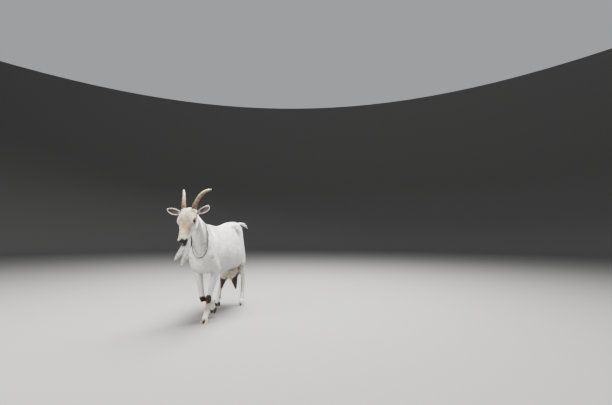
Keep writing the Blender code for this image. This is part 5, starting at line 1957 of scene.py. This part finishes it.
# %% Coat material
def coat_material():
    made, tree, shader = principled("goat_coat", 0.72)
    here = object_position(tree)
    marks = use_group(tree, DOE_MARKS)
    put(tree, marks.inputs["Position"], here)
    lock = noise(tree, here, 260.0, 2.0)
    shade = mix(tree, maths(tree, "MULTIPLY", fade(tree, lock, 0.45, 0.75), 0.10), marks.outputs["Color"],
                (0.42, 0.38, 0.33))
    tree.links.new(shade, shader.inputs["Base Color"])
    lines = use_group(tree, HAIR_LINES)
    put(tree, lines.inputs["Position"], here)
    lines.inputs["Fineness"].default_value = 900
    bumped(tree, shader, lines.outputs["Height"], 0.35, 0.0008)
    shader.inputs["Sheen Weight"].default_value = 0.12
    shader.inputs["Sheen Roughness"].default_value = 0.5
    return made


COAT = coat_material()


def spread(uv):
    """The places of one piece's roots, stretched to fill the map."""
    low, high = uv.min(axis=0), uv.max(axis=0)
    return PATCH + (uv - low) / np.maximum(high - low, 1e-6) * (1 - 2 * PATCH)


def region_of(p):
    """The name of the coat piece that each root belongs to."""
    x, y, z = p.T
    names = np.full(len(p), "coat_barrel_left", dtype=object)
    names[x < 0] = "coat_barrel_right"
    names[y < -0.20] = "coat_shoulders"
    names[(y < -0.335) & (z > 0.42)] = "coat_neck"
    names[y > 0.20] = "coat_rump"
    names[(z < 0.44) & (y < -0.05) & (x >= 0.018)] = "coat_foreleg_left"
    names[(z < 0.44) & (y < -0.05) & (x < 0.018)] = "coat_foreleg_right"
    names[(z < 0.40) & (y > 0.12) & (x > 0)] = "coat_hindleg_left"
    names[(z < 0.40) & (y > 0.12) & (x <= 0)] = "coat_hindleg_right"
    _, share, _ = face_frame(p)
    names[(share > -0.14) & (y < -0.475)] = "coat_head"
    names[on_ears(p) > 0.3] = "coat_ears"
    return names


rings, tips = tuft_rings(roots, root_normals)
regions = region_of(roots)
coat = {}
for name in sorted(set(regions)):
    chosen = regions == name
    mesh = sliver_mesh(name, rings[chosen], tips[chosen], spread(root_uv[chosen]))
    mesh.materials.append(COAT)
    coat[name] = link(name, mesh)
    print(name, int(chosen.sum()), "tufts,", len(mesh.polygons), "triangles")

# %% [markdown]
# ## Beard
#
# The beard hangs in two flat locks. Its hairs are long, so each strand has more sections and bends: it
# starts on the chin along the skin, turns down under its own weight and is gathered towards the middle line
# of its lock.

# %% Beard
LOCKS = [
    [
        on_head(0, 0.74 * HEAD_LENGTH, -0.036),
        on_head(0, 0.76 * HEAD_LENGTH, -0.056),
        Vector((0.002, -0.598, 0.512)),
        Vector((-0.003, -0.606, 0.478)),
        Vector((-0.009, -0.612, 0.448)),
        Vector((-0.014, -0.616, 0.428)),
    ],
    [
        on_head(0, 0.84 * HEAD_LENGTH, -0.036),
        on_head(-0.004, 0.88 * HEAD_LENGTH, -0.054),
        Vector((-0.026, -0.630, 0.518)),
        Vector((-0.040, -0.636, 0.493)),
        Vector((-0.052, -0.640, 0.472)),
    ],
]
LOCK_WIDTHS = [[0.014, 0.021, 0.026, 0.023, 0.015, 0.004], [0.014, 0.019, 0.019, 0.014, 0.004]]


def along_lock(lock, widths, t):
    """The middle of a lock and its half width, t of the way down."""
    rows = spline([[*p, w] for p, w in zip(lock, widths)], 8)
    at = t * (len(rows) - 1)
    low = min(int(at), len(rows) - 2)
    row = [a + (b - a) * (at - low) for a, b in zip(rows[low], rows[low + 1])]
    return np.array(row[:3]), row[3]


def strand(lock, widths, generator, levels=6):
    """One strand: sections and a tip that follow the lock at a steady share of its width."""
    start, stop = generator.uniform(0.0, 0.16), generator.uniform(0.55, 1.0)
    offset = generator.normal(0, 0.36, 2)
    offset = offset / max(1.0, np.linalg.norm(offset) / 0.86)
    phase, size = generator.uniform(0, 2 * math.pi), generator.uniform(0.0008, 0.0013)
    centres, halves = [], []
    for level in range(levels + 1):
        share = level / levels
        t = start + (stop - start) * share
        middle, half = along_lock(lock, widths, t)
        wave = 0.0012 * math.sin(phase + 7 * share)
        centres.append(middle + np.array((offset[0] * half + wave, offset[1] * half * 1.25, 0.0)))
        halves.append(size * (0.75 + 0.9 * share) * (1 - share**3 * 0.6))
    centres = np.array(centres)
    way = unit(np.gradient(centres, axis=0))
    out = unit(np.array([[offset[0] + 0.01, offset[1] * 0.6 - 0.25, 0.0]] * (levels + 1)))
    across = unit(np.cross(way, out))
    out = unit(np.cross(across, way))
    halves = np.array(halves)
    body = sections(centres[:-1], across[:-1], out[:-1], halves[:-1], halves[:-1] * 0.7)
    return body, centres[-1], centres[0]


def beard_mesh(count=2400):
    generator = np.random.default_rng(5)
    bodies, ends, starts = [], [], []
    for i in range(count):
        which = 0 if i < count * 0.58 else 1
        body, end, start = strand(LOCKS[which], LOCK_WIDTHS[which], generator)
        bodies.append(body)
        ends.append(end)
        starts.append(start)
    starts = np.array(starts)
    uv = spread(starts[:, :2] + generator.normal(0, 0.0005, (count, 2)))
    return sliver_mesh("beard_hair", np.array(bodies), np.array(ends), uv)


beard = link("beard_hair", beard_mesh())
beard.data.materials.append(COAT)
print("beard:", len(beard.data.polygons), "triangles")

# %% [markdown]
# ## Putting it together
#
# The skin stands for every fleshy solid at once, so no seam shows where they meet. Every hard piece stands
# for its own solid. Nothing on a standing model moves, so each piece rides on the one body.

# %% Pieces and their bodies
def ride(piece):
    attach(piece, "root")


ride(skin)
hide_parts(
    "head", "neck", "trunk", "tail", "foreleg_left", "foreleg_right",
    "hindleg_left", "hindleg_right", "ear_left", "ear_right", "udder",
)
for piece in coat.values():
    ride(piece)
ride(beard)
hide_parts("beard")
for piece, (_, word) in zip(horns, SIDES):
    ride(piece)
    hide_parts("horn_" + word)
for word, piece in eyes.items():
    ride(piece)
    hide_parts("eye_" + word)
for name, piece in hooves.items():
    ride(piece)
    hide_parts(*(kind + name + "_" + word for kind in ("claw_", "dewclaw_") for _, word in SIDES))
for piece in (strap, stitches, buckle, strap_end):
    ride(piece)
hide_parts("collar")
